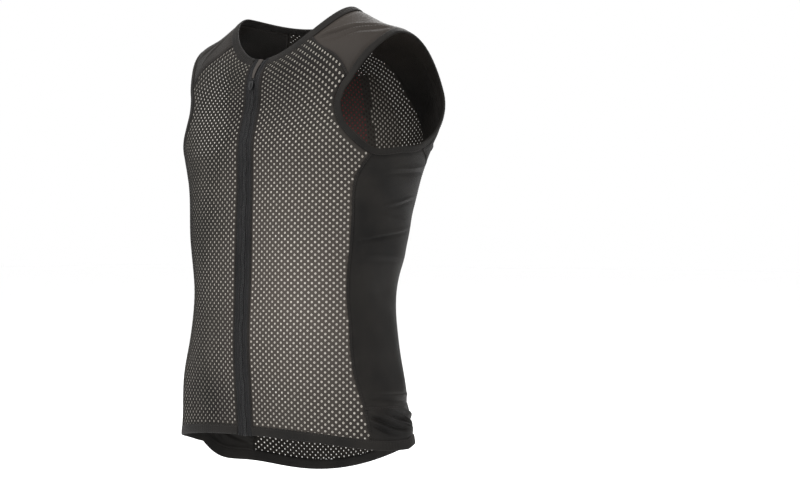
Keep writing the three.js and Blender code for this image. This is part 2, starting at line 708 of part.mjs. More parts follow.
const windowUps = rowsBetween(padWindowFootAt, padSeamAt, windowSteps);
const lowerUps = [
  padOutline[0].up,
  padOutline[1].up,
  ...rowsBetween(padRoundedAt, padWindowFootAt, lowerPadRows),
  ...windowUps.slice(1),
];
const cornerUps = rowsBetween(padSeamAt, padCornerTopAt, windowSteps);
const upperUps = [...cornerUps.slice(0, -1), ...rowsBetween(padCornerTopAt, padTopAt, upperPadTopRows)];
const padGrid = (ups, count) => ups.map((up) => padRow(up, -stripHalf(up), stripHalf(up), count));
const besideStrip = (ups) => ups.map((up) => padRow(up, -wholeHalf(up), -stripHalf(up), windowSteps));
const addPad = (name, grid, most) => add(
  name,
  wall(drawIn(grid), layerGap, crown(grid[0].length - 1, grid.length - 1, most)),
  padCloth,
);
addPad('pad_cover_lower', padGrid(lowerUps, lowerPadSteps), padThickness);
addPad('pad_cover_upper', padGrid(upperUps, upperPadSteps), padUpperThickness);
const windowCrown = crown(windowSteps, windowSteps, padWindowThickness);
addPair('pad_window', drawIn(besideStrip(windowUps)), layerGap, windowCrown, redMesh);
addPair('pad_corner', drawIn(besideStrip(cornerUps)), layerGap, windowCrown, redMesh);

// Label inside the back of the neck, hung from the neck band
const bandFoot = neckBandBottom(90);
const labelTop = bandFoot - riseFor(labelDrop, 90, bandFoot);
const labelBottom = labelTop - riseFor(labelLength, 90, labelTop);
const besideSpine = (low, high, width) => rowsBetween(low, high, labelSteps).map(
  (up) => padRow(up, -width / 2, width / 2, labelSteps),
);
const label = besideSpine(labelBottom, labelTop, labelWidth);
const labelFoot = -netThickness - layerGap - labelThickness;
add('neck_label', wall(label, labelFoot, evenly(labelThickness)), paleSatin);

// Tab on the outside, from the neck band down to the pad
const tabBottom = padTopAt + riseFor(tabClearance, 90, padTopAt);
const tab = besideSpine(tabBottom, bandFoot - riseFor(tabClearance, 90, bandFoot), tabWidth);
add('neck_tab', wall(tab, layerGap, evenly(tabThickness)), bandCloth);

export default vest;
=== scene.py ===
import bpy
import numpy as np
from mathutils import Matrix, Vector


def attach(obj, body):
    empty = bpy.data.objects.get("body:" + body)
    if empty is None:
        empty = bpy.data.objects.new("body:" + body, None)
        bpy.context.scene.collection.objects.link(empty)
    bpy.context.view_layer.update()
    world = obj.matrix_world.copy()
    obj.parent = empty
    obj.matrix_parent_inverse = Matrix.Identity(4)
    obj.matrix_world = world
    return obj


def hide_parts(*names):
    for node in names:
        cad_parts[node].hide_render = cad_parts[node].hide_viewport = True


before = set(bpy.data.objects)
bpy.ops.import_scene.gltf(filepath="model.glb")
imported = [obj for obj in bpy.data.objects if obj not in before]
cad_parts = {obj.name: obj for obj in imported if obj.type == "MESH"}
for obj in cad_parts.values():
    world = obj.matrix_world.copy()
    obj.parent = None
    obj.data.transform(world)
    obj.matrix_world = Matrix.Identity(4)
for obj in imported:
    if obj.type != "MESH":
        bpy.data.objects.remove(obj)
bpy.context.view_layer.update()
print("frame: loaded")

mm = 0.001

# The worn form, the same rings as the frame's solids

form = {
    "neckPointHeight": 24, "frontLength": 601, "sideLength": 620, "backLength": 669,
    "frontNeckDrop": 74, "backNeckDrop": 18, "hemLean": 5, "tailSkew": 15, "hemReach": 0.4,
    "hemDrop": 22, "hemDropAt": 162, "hemDropTurn": 22,
    "neckHalfWidth": 99, "shoulderHalfWidth": 211, "chestHalfWidth": 197, "waistHalfWidth": 161,
    "hemHalfWidth": 198, "neckFrontDepth": 81, "chestFrontDepth": 118, "bellyDepth": 123,
    "neckBackDepth": 44, "bladeDepth": 148, "lumbarDepth": 78, "hemBackDepth": 86,
    "hemBand": 14, "neckBand": 13, "armholeBand": 9, "zipWidth": 27, "zipSliderAt": 0.9,
    "zipChainWidth": 7, "zipMouthWidth": 16, "padThickness": 21, "padUpperThickness": 16,
    "padWindowThickness": 11, "padEdgeThickness": 6, "tabWidth": 34, "labelWidth": 27,
    "labelLength": 40, "layerGap": 0.9,
    "padWidth": 204, "padStripWidth": 98, "padTopAt": 0.9, "padCornerTopAt": 0.86,
    "padSeamAt": 0.7, "padWindowFootAt": 0.53, "padWaistAt": 0.51, "padRoundedAt": 0.14,
    "padBottomAt": 0.105,
}
hem, waist, chest = form["hemHalfWidth"], form["waistHalfWidth"], form["chestHalfWidth"]
shoulder, belly, bust = form["shoulderHalfWidth"], form["bellyDepth"], form["chestFrontDepth"]
blade, lumbar, neckFront = form["bladeDepth"], form["lumbarDepth"], form["neckFrontDepth"]

ringNames = ("up", "front", "side", "back", "halfWidth", "frontDepth", "backDepth",
             "squareFront", "squareBack")
ringRows = np.array([
    (0, 1, 1, 1, hem, belly * 0.95, form["hemBackDepth"], 2.44, 2),
    (0.1, 0.888, 0.884, 0.869, hem * 0.93, belly * 0.975, form["hemBackDepth"] * 0.93, 2.45, 2.05),
    (0.21, 0.759, 0.767, 0.719, waist * 1.05, belly, lumbar, 2.5, 2.05),
    (0.32, 0.636, 0.659, 0.601, waist, belly, lumbar * 1.13, 2.45, 2.05),
    (0.46, 0.474, 0.521, 0.47, waist * 1.08, belly * 0.99, blade * 0.78, 2.4, 2.1),
    (0.58, 0.332, 0.403, 0.355, chest * 0.92, bust, blade * 0.93, 2.35, 2.24),
    (0.68, 0.224, 0.305, 0.27, chest, bust * 0.99, blade * 0.985, 2.33, 2.32),
    (0.78, 0.129, 0.192, 0.178, shoulder, bust * 0.88, blade, 2.15, 2.42),
    (0.87, 0.072, 0.073, 0.094, shoulder * 0.89, bust * 0.86, blade * 0.825, 1.85, 2.4),
    (0.94, 0.034, 0.038, 0.04, shoulder * 0.665, neckFront * 1.18, blade * 0.54, 1.85, 2.14),
    (1, 0, 0, 0, form["neckHalfWidth"], neckFront, form["neckBackDepth"], 1.9, 2),
])
ring = dict(zip(ringNames, ringRows.T))

# The back sits turned towards the wearer's right: up and the degrees at its middle
turnRows = np.array([(0, -4), (0.2, -3), (0.45, 4), (0.65, 10), (0.86, 10), (1, 5)], float)

# Soft folds of the worn cloth: around, up, slant in degrees, length, width and height in mm
foldRows = np.array([
    (8, 0.595, -78, 70, 16, 3.5), (14, 0.53, -70, 80, 15, -3), (6, 0.42, -74, 80, 16, 3),
    (0, 0.33, -60, 70, 16, -3), (-4, 0.1, 62, 80, 13, 4), (4, 0.06, 58, 90, 13, -3.5),
    (-30, 0.9, 35, 70, 14, 3), (36, 0.74, 25, 80, 16, -4), (-90, 0.2, 8, 150, 26, 3),
    (-84, 0.4, -6, 150, 26, -3), (188, 0.595, 76, 70, 16, 3.5), (176, 0.42, 70, 80, 16, -3),
    (180, 0.24, 60, 90, 18, 4), (214, 0.13, -20, 120, 24, 5), (210, 0.9, -35, 70, 14, -2),
    (25, 0.735, 4, 120, 28, 9), (155, 0.735, -4, 120, 28, 4),
])

# Narrow creases that pull across the stretch cloth, in the same columns, and what each is times
creaseScale = (1, 1, 1, 1, 0.62, 1.1)
creaseRows = np.array([
    (10, 0.618, 84, 70, 3.2, 2), (9, 0.604, 86, 76, 4, -2.2), (6, 0.54, 80, 60, 3, 1.7),
    (6, 0.531, 80, 60, 3.4, -1.6), (2, 0.5, 96, 70, 3, 1.1), (-8, 0.465, 82, 100, 3.4, 1.8),
    (-8, 0.457, 82, 100, 3.6, -1.7), (-22, 0.445, 46, 44, 3.4, 1.8),
    (-24, 0.437, 40, 40, 3.4, -1.6), (-3, 0.415, 92, 84, 3.4, 0.9), (-3, 0.402, 92, 84, 3.4, -0.8),
    (-2, 0.105, 94, 120, 4, 2), (-2, 0.093, 96, 120, 4, -2.4), (-21, 0.07, 108, 56, 3.6, 2.4),
    (-20, 0.06, 110, 66, 3.8, -2.8), (-18, 0.049, 112, 70, 4, 2.8),
    (-15, 0.038, 112, 64, 3.8, -2.4), (-1, 0.067, 112, 90, 4, 2.6), (1, 0.057, 114, 90, 4.2, -3),
    (3, 0.046, 114, 90, 4.2, 2.8), (6, 0.035, 112, 80, 4, -2.4), (18, 0.062, 110, 60, 4, 2.2),
    (20, 0.05, 112, 60, 4, -2.2), (-28, 0.95, 112, 84, 3.6, 2.8), (-26, 0.938, 114, 90, 3.8, -3),
    (-23, 0.925, 116, 90, 3.8, 2.8), (-20, 0.911, 118, 84, 4, -2.6), (-26, 0.9, 116, 60, 4, 2),
    (12, 0.9, -16, 54, 4.4, 2.2), (34, 0.8, 18, 60, 4, 2), (33, 0.77, 24, 64, 4.2, -2.2),
    (31, 0.74, 30, 60, 4, 2.2), (30, 0.715, 36, 52, 4, -1.8), (30, 0.68, 62, 50, 4, 1.8),
    (170, 0.606, 96, 70, 3.6, 2), (170, 0.594, 96, 74, 4, -2.2), (174, 0.5, 100, 80, 3.6, 1.6),
    (174, 0.488, 100, 80, 3.8, -1.8), (190, 0.44, 100, 90, 3.8, 1.8), (190, 0.43, 98, 90, 4, -1.8),
    (184, 0.3, 104, 70, 3.8, 1.4), (184, 0.066, 68, 110, 4.2, 2.8),
    (182, 0.054, 66, 110, 4.2, -2.8), (178, 0.042, 68, 100, 4.2, 2.6),
    (164, 0.058, 70, 70, 4.2, -2.6), (162, 0.046, 70, 70, 4.2, 2.4), (150, 0.06, 70, 50, 4, -2),
    (146, 0.78, -20, 60, 4.2, 1.8), (147, 0.75, -26, 60, 4.2, -2), (212, 0.93, -28, 60, 4, 1.8),
    (205, 0.915, -24, 60, 4.2, -1.6),
])


def hermite(knots, values, x):
    # cubic between knots, whose slope at a knot is the three-point one and at the ends the secant
    h = np.diff(knots)
    secant = np.diff(values) / h
    slope = np.empty_like(values, dtype=float)
    slope[1:-1] = (h[1:] * secant[:-1] + h[:-1] * secant[1:]) / (h[:-1] + h[1:])
    slope[0], slope[-1] = secant[0], secant[-1]
    k = np.clip(np.searchsorted(knots, x, side="right") - 1, 0, len(knots) - 2)
    t = (x - knots[k]) / h[k]
    return ((2 * t**3 - 3 * t**2 + 1) * values[k] + (t**3 - 2 * t**2 + t) * h[k] * slope[k]
            + (3 * t**2 - 2 * t**3) * values[k + 1] + (t**3 - t**2) * h[k] * slope[k + 1])


def heightAt(drop, whole, share):
    # the height of a share of the way from the neck, dropped there, to the hem
    return form["neckPointHeight"] - drop - (whole - drop) * share


def plainForm(around, up):
    # x = halfWidth cos^(2/n), y = depth sin^(2/n) with their signs, and the height runs from the
    # side's to the front's or the back's with sin squared; near the hem its lean, the skew of
    # the tail and the drop of its rear corner are added; places behind are turned with their sine
    around, up = np.broadcast_arrays(np.asarray(around, float), np.asarray(up, float))
    behind = np.sin(np.radians(around)).clip(0)
    around = around + behind * hermite(turnRows[:, 0], turnRows[:, 1], up)
    c, s = np.cos(np.radians(around)), np.sin(np.radians(around))
    at = {name: hermite(ring["up"], ring[name], up) for name in ringNames[1:]}
    ahead = s < 0
    power = 2 / np.where(ahead, at["squareFront"], at["squareBack"])
    depth = np.where(ahead, at["frontDepth"], at["backDepth"])
    side = heightAt(0, form["sideLength"], at["side"])
    end = np.where(ahead, heightAt(form["frontNeckDrop"], form["frontLength"], at["front"]),
                   heightAt(form["backNeckDrop"], form["backLength"], at["back"]))
    hang = np.clip(1 - up / form["hemReach"], 0, 1) ** 1.5
    fromDrop = around - form["hemDropAt"]
    fromDrop = (fromDrop - 360 * np.round(fromDrop / 360)) / form["hemDropTurn"]
    lean = hang * (c * (form["hemLean"] + np.where(ahead, 0, 2 * form["tailSkew"] * s))
                   - form["hemDrop"] * np.exp(-fromDrop**2))
    return np.stack([at["halfWidth"] * np.sign(c) * np.abs(c) ** power,
                     depth * np.sign(s) * np.abs(s) ** power,
                     side + (end - side) * s * s + lean], -1)


def stepsAlong(around, up, shape, turn=0.5, rise=0.004):
    # the surface's change for a degree and for a whole of up, by central differences
    low, high = np.clip(up - rise, 0, 1 - rise), np.clip(up + rise, rise, 1)
    alongAround = (shape(around + turn, up) - shape(around - turn, up)) / (2 * turn)
    alongUp = (shape(around, high) - shape(around, low)) / (high - low)[..., None]
    return alongAround, alongUp


def unit(vectors):
    return vectors / np.maximum(np.linalg.norm(vectors, axis=-1, keepdims=True), 1e-9)


def outward(around, up, shape, turn=0.5, rise=0.004):
    # the cross product of the two steps, as a unit
    return unit(np.cross(*stepsAlong(around, up, shape, turn, rise)))


def length(vectors):
    return np.linalg.norm(vectors, axis=-1)


def lineAt(around, up):
    # places as rows of (around, up), either of them the same all along
    return np.column_stack(np.broadcast_arrays(around, up))


def foldTable(rows):
    # the rows with the mm in a degree and in a whole of up at each fold
    alongAround, alongUp = stepsAlong(rows[:, 0], rows[:, 1], plainForm, turn=5)
    return np.column_stack([rows, length(alongAround), length(alongUp)])


def foldLift(table, around, up):
    # each row adds a bell across its line and a longer one along it
    around, up = np.broadcast_arrays(around, up)
    lift = np.zeros(around.shape)
    for foldAround, foldUp, slant, long, wide, height, degree, rise in table:
        turn = around - foldAround
        across = (turn - 360 * np.round(turn / 360)) * degree
        climb = (up - foldUp) * rise
        c, s = np.cos(np.radians(slant)), np.sin(np.radians(slant))
        along, aside = climb * c + across * s, across * c - climb * s
        lift += height * np.exp(-(2 * along / long) ** 2 - (aside / wide) ** 2)
    return lift


folds, creases = foldTable(foldRows), foldTable(creaseRows * creaseScale)


def wornForm(around, up, more=0.0):
    # the plain form, lifted along its outward direction by the folds and by more
    lift = foldLift(folds, around, up) + more
    return plainForm(around, up) + outward(around, up, plainForm) * lift[..., None]


def creasedForm(around, up):
    # the worn form with the stretch cloth's creases
    return wornForm(around, up, foldLift(creases, around, up))


def laid(around, up, height=0.0, shape=wornForm):
    # a place on the form, lifted along its own outward direction
    around, up, lift = np.broadcast_arrays(around, up, height)
    fine = {"turn": 0.2, "rise": 0.0015} if shape is creasedForm else {}
    return shape(around, up) + outward(around, up, shape, **fine) * lift[..., None]


def riseFor(distance, around, up):
    # how far up a distance in mm goes
    return distance / length(stepsAlong(*np.broadcast_arrays(around, up), plainForm)[1])


def hemTop(around):
    # how far up the hem's band reaches
    return riseFor(form["hemBand"], np.where(around > 90, 180 - around, around), 0.0)


def neckFoot(around):
    # how far down the neck's band reaches
    return 1 - riseFor(form["neckBand"], around, 1.0)


def turnFor(distance, up, square):
    # how many degrees from the front's or the back's middle a distance to the side is
    share = (np.abs(distance) / hermite(ring["up"], ring["halfWidth"], up)) ** (
        hermite(ring["up"], ring[square], up) / 2)
    return np.sign(distance) * np.degrees(np.arcsin(share))


# Lines on the form are arrays of (around, up), with fineness points for each facet of the frame

fineness = 6
counts = {"seam": 14, "front": 8, "under": 6, "shoulderFront": 8, "shoulderBack": 4,
          "backYoke": 7, "short": 6}
armholeKnots = np.array([
    (-42, 0.812), (-31, 0.845), (-16, 0.866), (3, 0.876), (15, 0.868), (21.5, 0.838), (24, 0.785),
    (22.5, 0.735), (19, 0.7), (11, 0.674), (-5, 0.66), (-24, 0.657), (-37, 0.688), (-46, 0.725),
    (-49, 0.758), (-47, 0.79),
])
armholeMarks = (0, 9, 11)
frontSideKnots = np.array([(-25.5, 0), (-27, 0.08), (-29.5, 0.15), (-28, 0.27), (-30, 0.4),
                           (-31, 0.5), (-30.5, 0.6)])
backSideKnots = np.array([(40, 0), (40, 0.18), (35, 0.39), (29.5, 0.52), (28, 0.625)])
frontYokeKnots = np.array([(-47, 1), (-46.5, 0.93), (-45.5, 0.87)])
backYokeKnots = np.array([(62, 1), (62, 0.93), (61, 0.86), (57, 0.79), (47, 0.72), (35, 0.665),
                          (28, 0.625)])


def distances(line):
    # mm along a line from its start
    return np.concatenate([[0], np.cumsum(length(np.diff(plainForm(*line.T), axis=0)))])


def readLine(knots, along, x):
    # a line's places at distances x, as a cubic through its knots
    return np.column_stack([hermite(along, column, x) for column in knots.T])


def smoothLine(knots, count):
    # a curve through knots in even steps of length
    along = distances(knots)
    return readLine(knots, along, np.linspace(0, along[-1], count * fineness + 1))


def closedRuns(knots, marks, runCounts):
    # a closed curve through knots, cut into runs at the marked ones
    wrapped = np.concatenate([knots[-3:], knots, knots[:4]])
    along = distances(wrapped)
    ends = [along[mark + 3] for mark in (*marks, len(knots))]
    return [readLine(wrapped, along, np.linspace(a, b, count * fineness + 1))
            for a, b, count in zip(ends[:-1], ends[1:], runCounts)]


def beside(line, distance, closed=True):
    # each place of a line moved sideways on the surface by so many mm
    here = plainForm(*line.T)
    if closed:
        along = np.roll(here, -1, axis=0) - np.roll(here, 1, axis=0)
    else:
        along = np.gradient(here, axis=0)
    away = unit(np.cross(unit(along), outward(*line.T, plainForm))) * distance
    steps = np.stack(stepsAlong(*line.T, plainForm), -1)
    return line + (np.linalg.pinv(steps) @ away[..., None])[..., 0]


def onBand(band, knots):
    # the first knot moved to a band's edge
    started = knots.astype(float)
    started[0, 1] = band(knots[0, 0])
    return started


def joined(*lines):
    # lines end to end, each shared point once
    return np.concatenate([lines[0], *[line[1:] for line in lines[1:]]])


yokeCount = counts["shoulderFront"] + counts["shoulderBack"] + counts["backYoke"]
armholeLoop = joined(*closedRuns(armholeKnots, armholeMarks,
                                 (yokeCount, counts["under"], counts["front"])))[:-1]
armholeEnd = beside(armholeLoop, -form["armholeBand"])
loopAgain = np.concatenate([armholeEnd, armholeEnd[:1]])
yokeEnd, underEnd = yokeCount * fineness, (yokeCount + counts["under"]) * fineness
yokeEdge, underEdge = loopAgain[:yokeEnd + 1], loopAgain[yokeEnd:underEnd + 1]
chestEdge = loopAgain[underEnd:]

frontSide = smoothLine(np.vstack([onBand(hemTop, frontSideKnots), chestEdge[0]]), counts["seam"])
backSide = smoothLine(onBand(hemTop, backSideKnots), counts["seam"])
frontYoke = smoothLine(np.vstack([onBand(neckFoot, frontYokeKnots), chestEdge[-1]]),
                       counts["short"])
backYoke = smoothLine(onBand(neckFoot, backYokeKnots), counts["backYoke"])
shortSeam = np.linspace(underEdge[0], backSide[-1], counts["short"] * fineness + 1)


def arc(start, end, count, band):
    # even turns along a band's edge
    around = np.linspace(start, end, count * fineness + 1)
    return lineAt(around, band(around))


def resample(line, shares):
    # a line at shares of its count of points
    at = np.linspace(0, 1, len(line))
    return np.column_stack([np.interp(shares, at, column) for column in line.T])


def closerAtEnds(count, strength=0.8):
    # shares from 0 to 1, less a sine that draws them closer at both ends
    even = np.linspace(0, 1, count + 1)
    return even - strength * np.sin(2 * np.pi * even) / (2 * np.pi)


def patch(bottom, top, left, right, across, upwards):
    # Coons patch: the blend of the four edges less the blend of their corners
    s, t = across[None, :, None], upwards[:, None, None]
    low, high = resample(bottom, across)[None], resample(top, across)[None]
    near, far = resample(left, upwards)[:, None], resample(right, upwards)[:, None]
    corners = ((1 - s) * (1 - t) * bottom[0] + s * (1 - t) * bottom[-1]
               + (1 - s) * t * top[0] + s * t * top[-1])
    return (1 - t) * low + t * high + (1 - s) * near + s * far - corners


# Meshes from whole arrays


def meshFrom(name, points, quads, uv=None, flip=False):
    # points in mm and faces of three or four corners each, turned over on request
    quads = quads[:, ::-1] if flip else quads
    mesh = bpy.data.meshes.new(name)
    mesh.vertices.add(len(points))
    mesh.vertices.foreach_set("co", (points * mm).astype(np.float32).ravel())
    mesh.loops.add(quads.size)
    mesh.loops.foreach_set("vertex_index", quads.astype(np.int32).ravel())
    mesh.polygons.add(len(quads))
    size = quads.shape[1]
    mesh.polygons.foreach_set("loop_start", np.arange(len(quads), dtype=np.int32) * size)
    mesh.polygons.foreach_set("use_smooth", np.full(len(quads), True))
    if uv is not None:
        layer = mesh.uv_layers.new(name="cloth")
        layer.data.foreach_set("uv", uv[quads.ravel()].astype(np.float32).ravel())
    mesh.update(calc_edges=True)
    mesh.validate()
    piece = bpy.data.objects.new(name, mesh)
    bpy.context.collection.objects.link(piece)
    return piece


def gridQuads(rows, columns, wrapAcross=False, wrapUp=False):
    # the faces of a grid, closed across or upwards on request
    j = np.arange(rows if wrapUp else rows - 1)[:, None]
    i = np.arange(columns if wrapAcross else columns - 1)[None, :]
    here, above = j * columns, (j + 1) % rows * columns
    beyond = (i + 1) % columns
    return np.stack([here + i, here + beyond, above + beyond, above + i], -1).reshape(-1, 4)


def clothUv(points):
    # lengths across and up in mm, so that a weave keeps its real scale
    across = np.pad(np.cumsum(length(np.diff(points, axis=1)), axis=1), ((0, 0), (1, 0)))
    upwards = np.pad(np.cumsum(length(np.diff(points, axis=0)), axis=0), ((1, 0), (0, 0)))
    return np.stack([across - across.mean(1, keepdims=True), upwards], -1).reshape(-1, 2)


def gridPiece(name, points, flip=False, **wraps):
    # a mesh from a grid of points
    quads = gridQuads(*points.shape[:2], **wraps)
    return meshFrom(name, points.reshape(-1, 3), quads, clothUv(points), flip)


def dress(piece, material, slotName, *nodes, wall=0.0):
    # a finish and the nodes that the piece stands for; wall is the thickness behind a sheet
    piece.data.materials.append(material)
    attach(piece, "root")
    if nodes:
        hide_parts(*nodes)
    if wall:
        piece.modifiers.new("wall", "SOLIDIFY").thickness = wall * mm
    return piece


sides = {"left": False, "right": True}


def onSide(around, isRight):
    # the right side is the left one mirrored
    return 180 - around if isRight else around


# Materials


def linear(colour):
    # sRGB hex to linear values
    value = np.array([int(colour[i:i + 2], 16) for i in (1, 3, 5)]) / 255
    value = np.where(value <= 0.04045, value / 12.92, ((value + 0.055) / 1.055) ** 2.4)
    return (*value, 1.0)


def addNode(tree, kind, inputs=None, **settings):
    # one node with its settings, and its sockets set or linked
    node = tree.nodes.new(kind)
    for key, value in settings.items():
        setattr(node, key, value)
    for key, value in (inputs or {}).items():
        if isinstance(value, bpy.types.NodeSocket):
            tree.links.new(value, node.inputs[key])
        else:
            node.inputs[key].default_value = value
    return node


def surface(name, **values):
    # a Principled material with these values
    material = bpy.data.materials.new(name)
    material.use_nodes = True
    tree = material.node_tree
    shader = tree.nodes["Principled BSDF"]
    for key, value in values.items():
        shader.inputs[key.replace("_", " ")].default_value = value
    return material, tree, shader


def knit(name, colour, lighter, loops, roughness, sheen, bump, ribs=1.0, holes=None, depth=0.6,
         cloud=22.0, gloss=0.1, stretched=None):
    # knitted or woven yarn: rows and columns of loops of so many mm, tinted in soft patches, with
    # a fibre sheen; holes is a darker colour painted between the loops as shade in them, and
    # stretched is painted light, a paler colour towards a lit place in mm, as far as its reach
    material, tree, shader = surface(
        name, Roughness=roughness, Sheen_Weight=sheen, Sheen_Roughness=0.45,
        Sheen_Tint=linear("#cfc6bd"), IOR=1.5, Specular_IOR_Level=gloss)
    places = addNode(tree, "ShaderNodeTexCoord").outputs
    clouds = addNode(tree, "ShaderNodeTexNoise",
                     {"Vector": places["Object"], "Scale": cloud, "Detail": 4.0})
    spread = addNode(tree, "ShaderNodeMapRange",
                     {"Value": clouds.outputs["Fac"], "From Min": 0.32, "From Max": 0.68})
    scaled = addNode(tree, "ShaderNodeMapping",
                     {"Vector": places["UV"], "Scale": (1 / loops, ribs / loops, 1)})
    waves = [addNode(tree, "ShaderNodeTexWave",
                     {"Vector": scaled.outputs[0], "Scale": 0.32, "Distortion": 0.6, "Detail": 1.0},
                     bands_direction=direction).outputs["Fac"] for direction in "XY"]
    loop = addNode(tree, "ShaderNodeMath", dict(enumerate(waves)), operation="MULTIPLY").outputs[0]
    layers = [(spread.outputs[0], linear(colour), linear(lighter))]
    # painted light: the yarn is mixed towards a paler colour around the lit place, fading out over
    # its reach
    if stretched:
        litColour, *ball = stretched
        at, reach = ([v * mm for v in part] for part in ball)
        litPlace = addNode(tree, "ShaderNodeMapping", {"Vector": places["Object"], "Location": at,
                                                     "Scale": reach}, vector_type="TEXTURE")
        litFalloff = addNode(tree, "ShaderNodeTexGradient", {"Vector": litPlace.outputs[0]},
                       gradient_type="SPHERICAL")
        layers.append((litFalloff.outputs["Fac"], None, linear(litColour)))
    # painted shade: the gaps between the loops take the darker holes colour
    if holes:
        between = addNode(tree, "ShaderNodeMapRange",
                          {"Value": loop, "From Min": 0.05, "From Max": 0.35})
        layers.append((between.outputs[0], linear(holes), None))
    for share, low, high in layers:
        tint = addNode(tree, "ShaderNodeMix", {0: share, 6: low or tint, 7: high or tint},
                       data_type="RGBA").outputs[2]
    raised = addNode(tree, "ShaderNodeBump",
                     {"Height": loop, "Strength": bump, "Distance": depth * mm})
    tree.links.new(tint, shader.inputs["Base Color"])
    tree.links.new(raised.outputs[0], shader.inputs["Normal"])
    return material


# painted light: the net's yarn and pale cores are paler where the light falls, on the belly in
# front and on the shoulder blades behind, and the stretch cloth on top of the shoulder
bellyLight, bladeLight = ((95, -110, -385), (190, 260, 330)), ((-60, 90, -260), (330, 260, 340))
shoulderLight = ((110, -50, 20), (300, 240, 170))

netYarn = knit("knitted net yarn", "#11100f", "#23211e", 1.3, 0.8, 0.015, 0.5, cloud=7.0,
               stretched=("#443f3b", *bellyLight))
backYarn = knit("knitted back net yarn", "#11100f", "#23211e", 1.3, 0.8, 0.015, 0.5, cloud=7.0,
                stretched=("#3c3834", *bladeLight))
coreYarn = knit("pale core yarn", "#77736c", "#a09b93", 0.9, 0.8, 0.02, 0.4, cloud=9.0,
                stretched=("#b8b3ab", *bellyLight))
backCoreYarn = knit("pale back core yarn", "#77736c", "#a09b93", 0.9, 0.8, 0.02, 0.4, cloud=9.0,
                    stretched=("#c2bdb5", *bladeLight))
stretchKnit = knit("stretch knit", "#0e0d0c", "#191715", 1.1, 0.55, 0.01, 0.35, gloss=0.1,
                   stretched=("#322d29", *shoulderLight))
bindingKnit = knit("folded binding", "#131211", "#1c1a18", 1.2, 0.65, 0.02, 0.5)
padFleece = knit("pad cover knit", "#101112", "#161718", 1.2, 0.8, 0.015, 0.5)
# painted highlight: the gathered corners' cover is lighter than the pad's, for the sheen on their
# pleats
gatherHighlightKnit = knit("gathered pad cover with painted highlights", "#191a1b", "#292a2c", 1.2, 0.6, 0.02, 0.4, cloud=40.0)
# the red net's holes colour is painted shade in its openings
redNet = knit("red spacer net", "#421b1c", "#562629", 3.0, 0.75, 0.03, 0.9, holes="#190b0c")
redLining = knit("red lining", "#572023", "#6a292c", 1.2, 0.75, 0.03, 0.4)
satin = knit("label satin", "#a9a7a2", "#c2c0bb", 0.8, 0.38, 0.0, 0.3)
tapeWeave = knit("zip tape weave", "#0e0e0f", "#171718", 1.4, 0.5, 0.02, 0.6, ribs=2.0, gloss=0.16)
flapKnit = knit("zip flap knit", "#2c2927", "#383431", 1.0, 0.6, 0.04, 0.4)
moulding = knit("nylon moulding", "#0e0e0f", "#141415", 1.5, 0.32, 0.0, 0.1, gloss=0.4)
thread = knit("sewing thread", "#1d1b1a", "#282524", 0.5, 0.5, 0.05, 0.4)
print("materials: made")

# Camera at the photograph's angle, with its body left of the frame's middle

camera = {"azimuth": 41, "distance": 2300, "height": -305, "mmPerPixel": 1.45, "framePixels": 800,
          "aimPixels": 300, "sensor": 36}


def aimed(name, data, azimuth, elevation, distance):
    # a camera or lamp so many mm from the vest's middle, turned to it
    a, e = np.radians(azimuth), np.radians(elevation)
    away = Vector((np.sin(a) * np.cos(e), -np.cos(a) * np.cos(e), np.sin(e)))
    thing = bpy.data.objects.new(name, data)
    thing.location = away * distance * mm + Vector((0, 0, camera["height"] * mm))
    thing.rotation_mode = "QUATERNION"
    thing.rotation_quaternion = away.to_track_quat("Z", "Y")
    bpy.context.collection.objects.link(thing)
    return thing


lens = bpy.data.cameras.new("camera")
lens.sensor_width = camera["sensor"]
lens.lens = camera["sensor"] * camera["distance"] / camera["mmPerPixel"] / camera["framePixels"]
lens.shift_x = 0.5 - camera["aimPixels"] / camera["framePixels"]
bpy.context.scene.camera = aimed("camera", lens, camera["azimuth"], 0, camera["distance"])

# Pale studio: a floor that runs out of sight, a white surround and three soft lights

studio = {"floor": -760, "floorReach": 20000, "white": "#ffffff", "surround": 1.0}
lights = [
    # azimuth, elevation, distance in mm, size in m, watts
    ("key", 8, 46, 2600, 1.5, 76),
    ("fill", 112, 15, 3000, 1.8, 7),
    ("back", 200, 45, 2800, 1.8, 50),
]
x, y = np.array([(-1, -1), (1, -1), (1, 1), (-1, 1)]).T * studio["floorReach"]
floor = meshFrom("floor", np.column_stack([x, y, 0 * x + studio["floor"]]), np.arange(4)[None])
floorPaint, _, floorShader = surface("pale floor paint", Roughness=0.9)
floorShader.inputs["Base Color"].default_value = linear(studio["white"])
floor.data.materials.append(floorPaint)

world = bpy.data.worlds.new("studio")
world.use_nodes = True
background = world.node_tree.nodes["Background"].inputs
background["Color"].default_value = linear(studio["white"])
background["Strength"].default_value = studio["surround"]
bpy.context.scene.world = world
bpy.context.scene.view_settings.view_transform = "Standard"
for name, azimuth, elevation, distance, size, power in lights:
    lamp = bpy.data.lights.new(name, "AREA")
    lamp.energy, lamp.size = power, size
    aimed(name, lamp, azimuth, elevation, distance)
print("camera and studio: set")

# Open net: staggered holes in rows that lie level on the form

net = {"pitch": 9.9, "rowPitch": 4.3, "hole": 1.7, "coreHole": 0.55, "coreReach": 2.3,
       "thickness": 1.3, "crown": 0.45, "plainEdge": 1.1, "seamDip": 1.0, "seamReach": 2.5,
       "overEdge": 0.35, "underBand": 2.0, "leastArea": 0.25}


def lookUp(x, grid, rows):
    # what each row of values over one grid is at its own x
    return np.array([np.interp(at, grid, row) for at, row in zip(x, rows)])


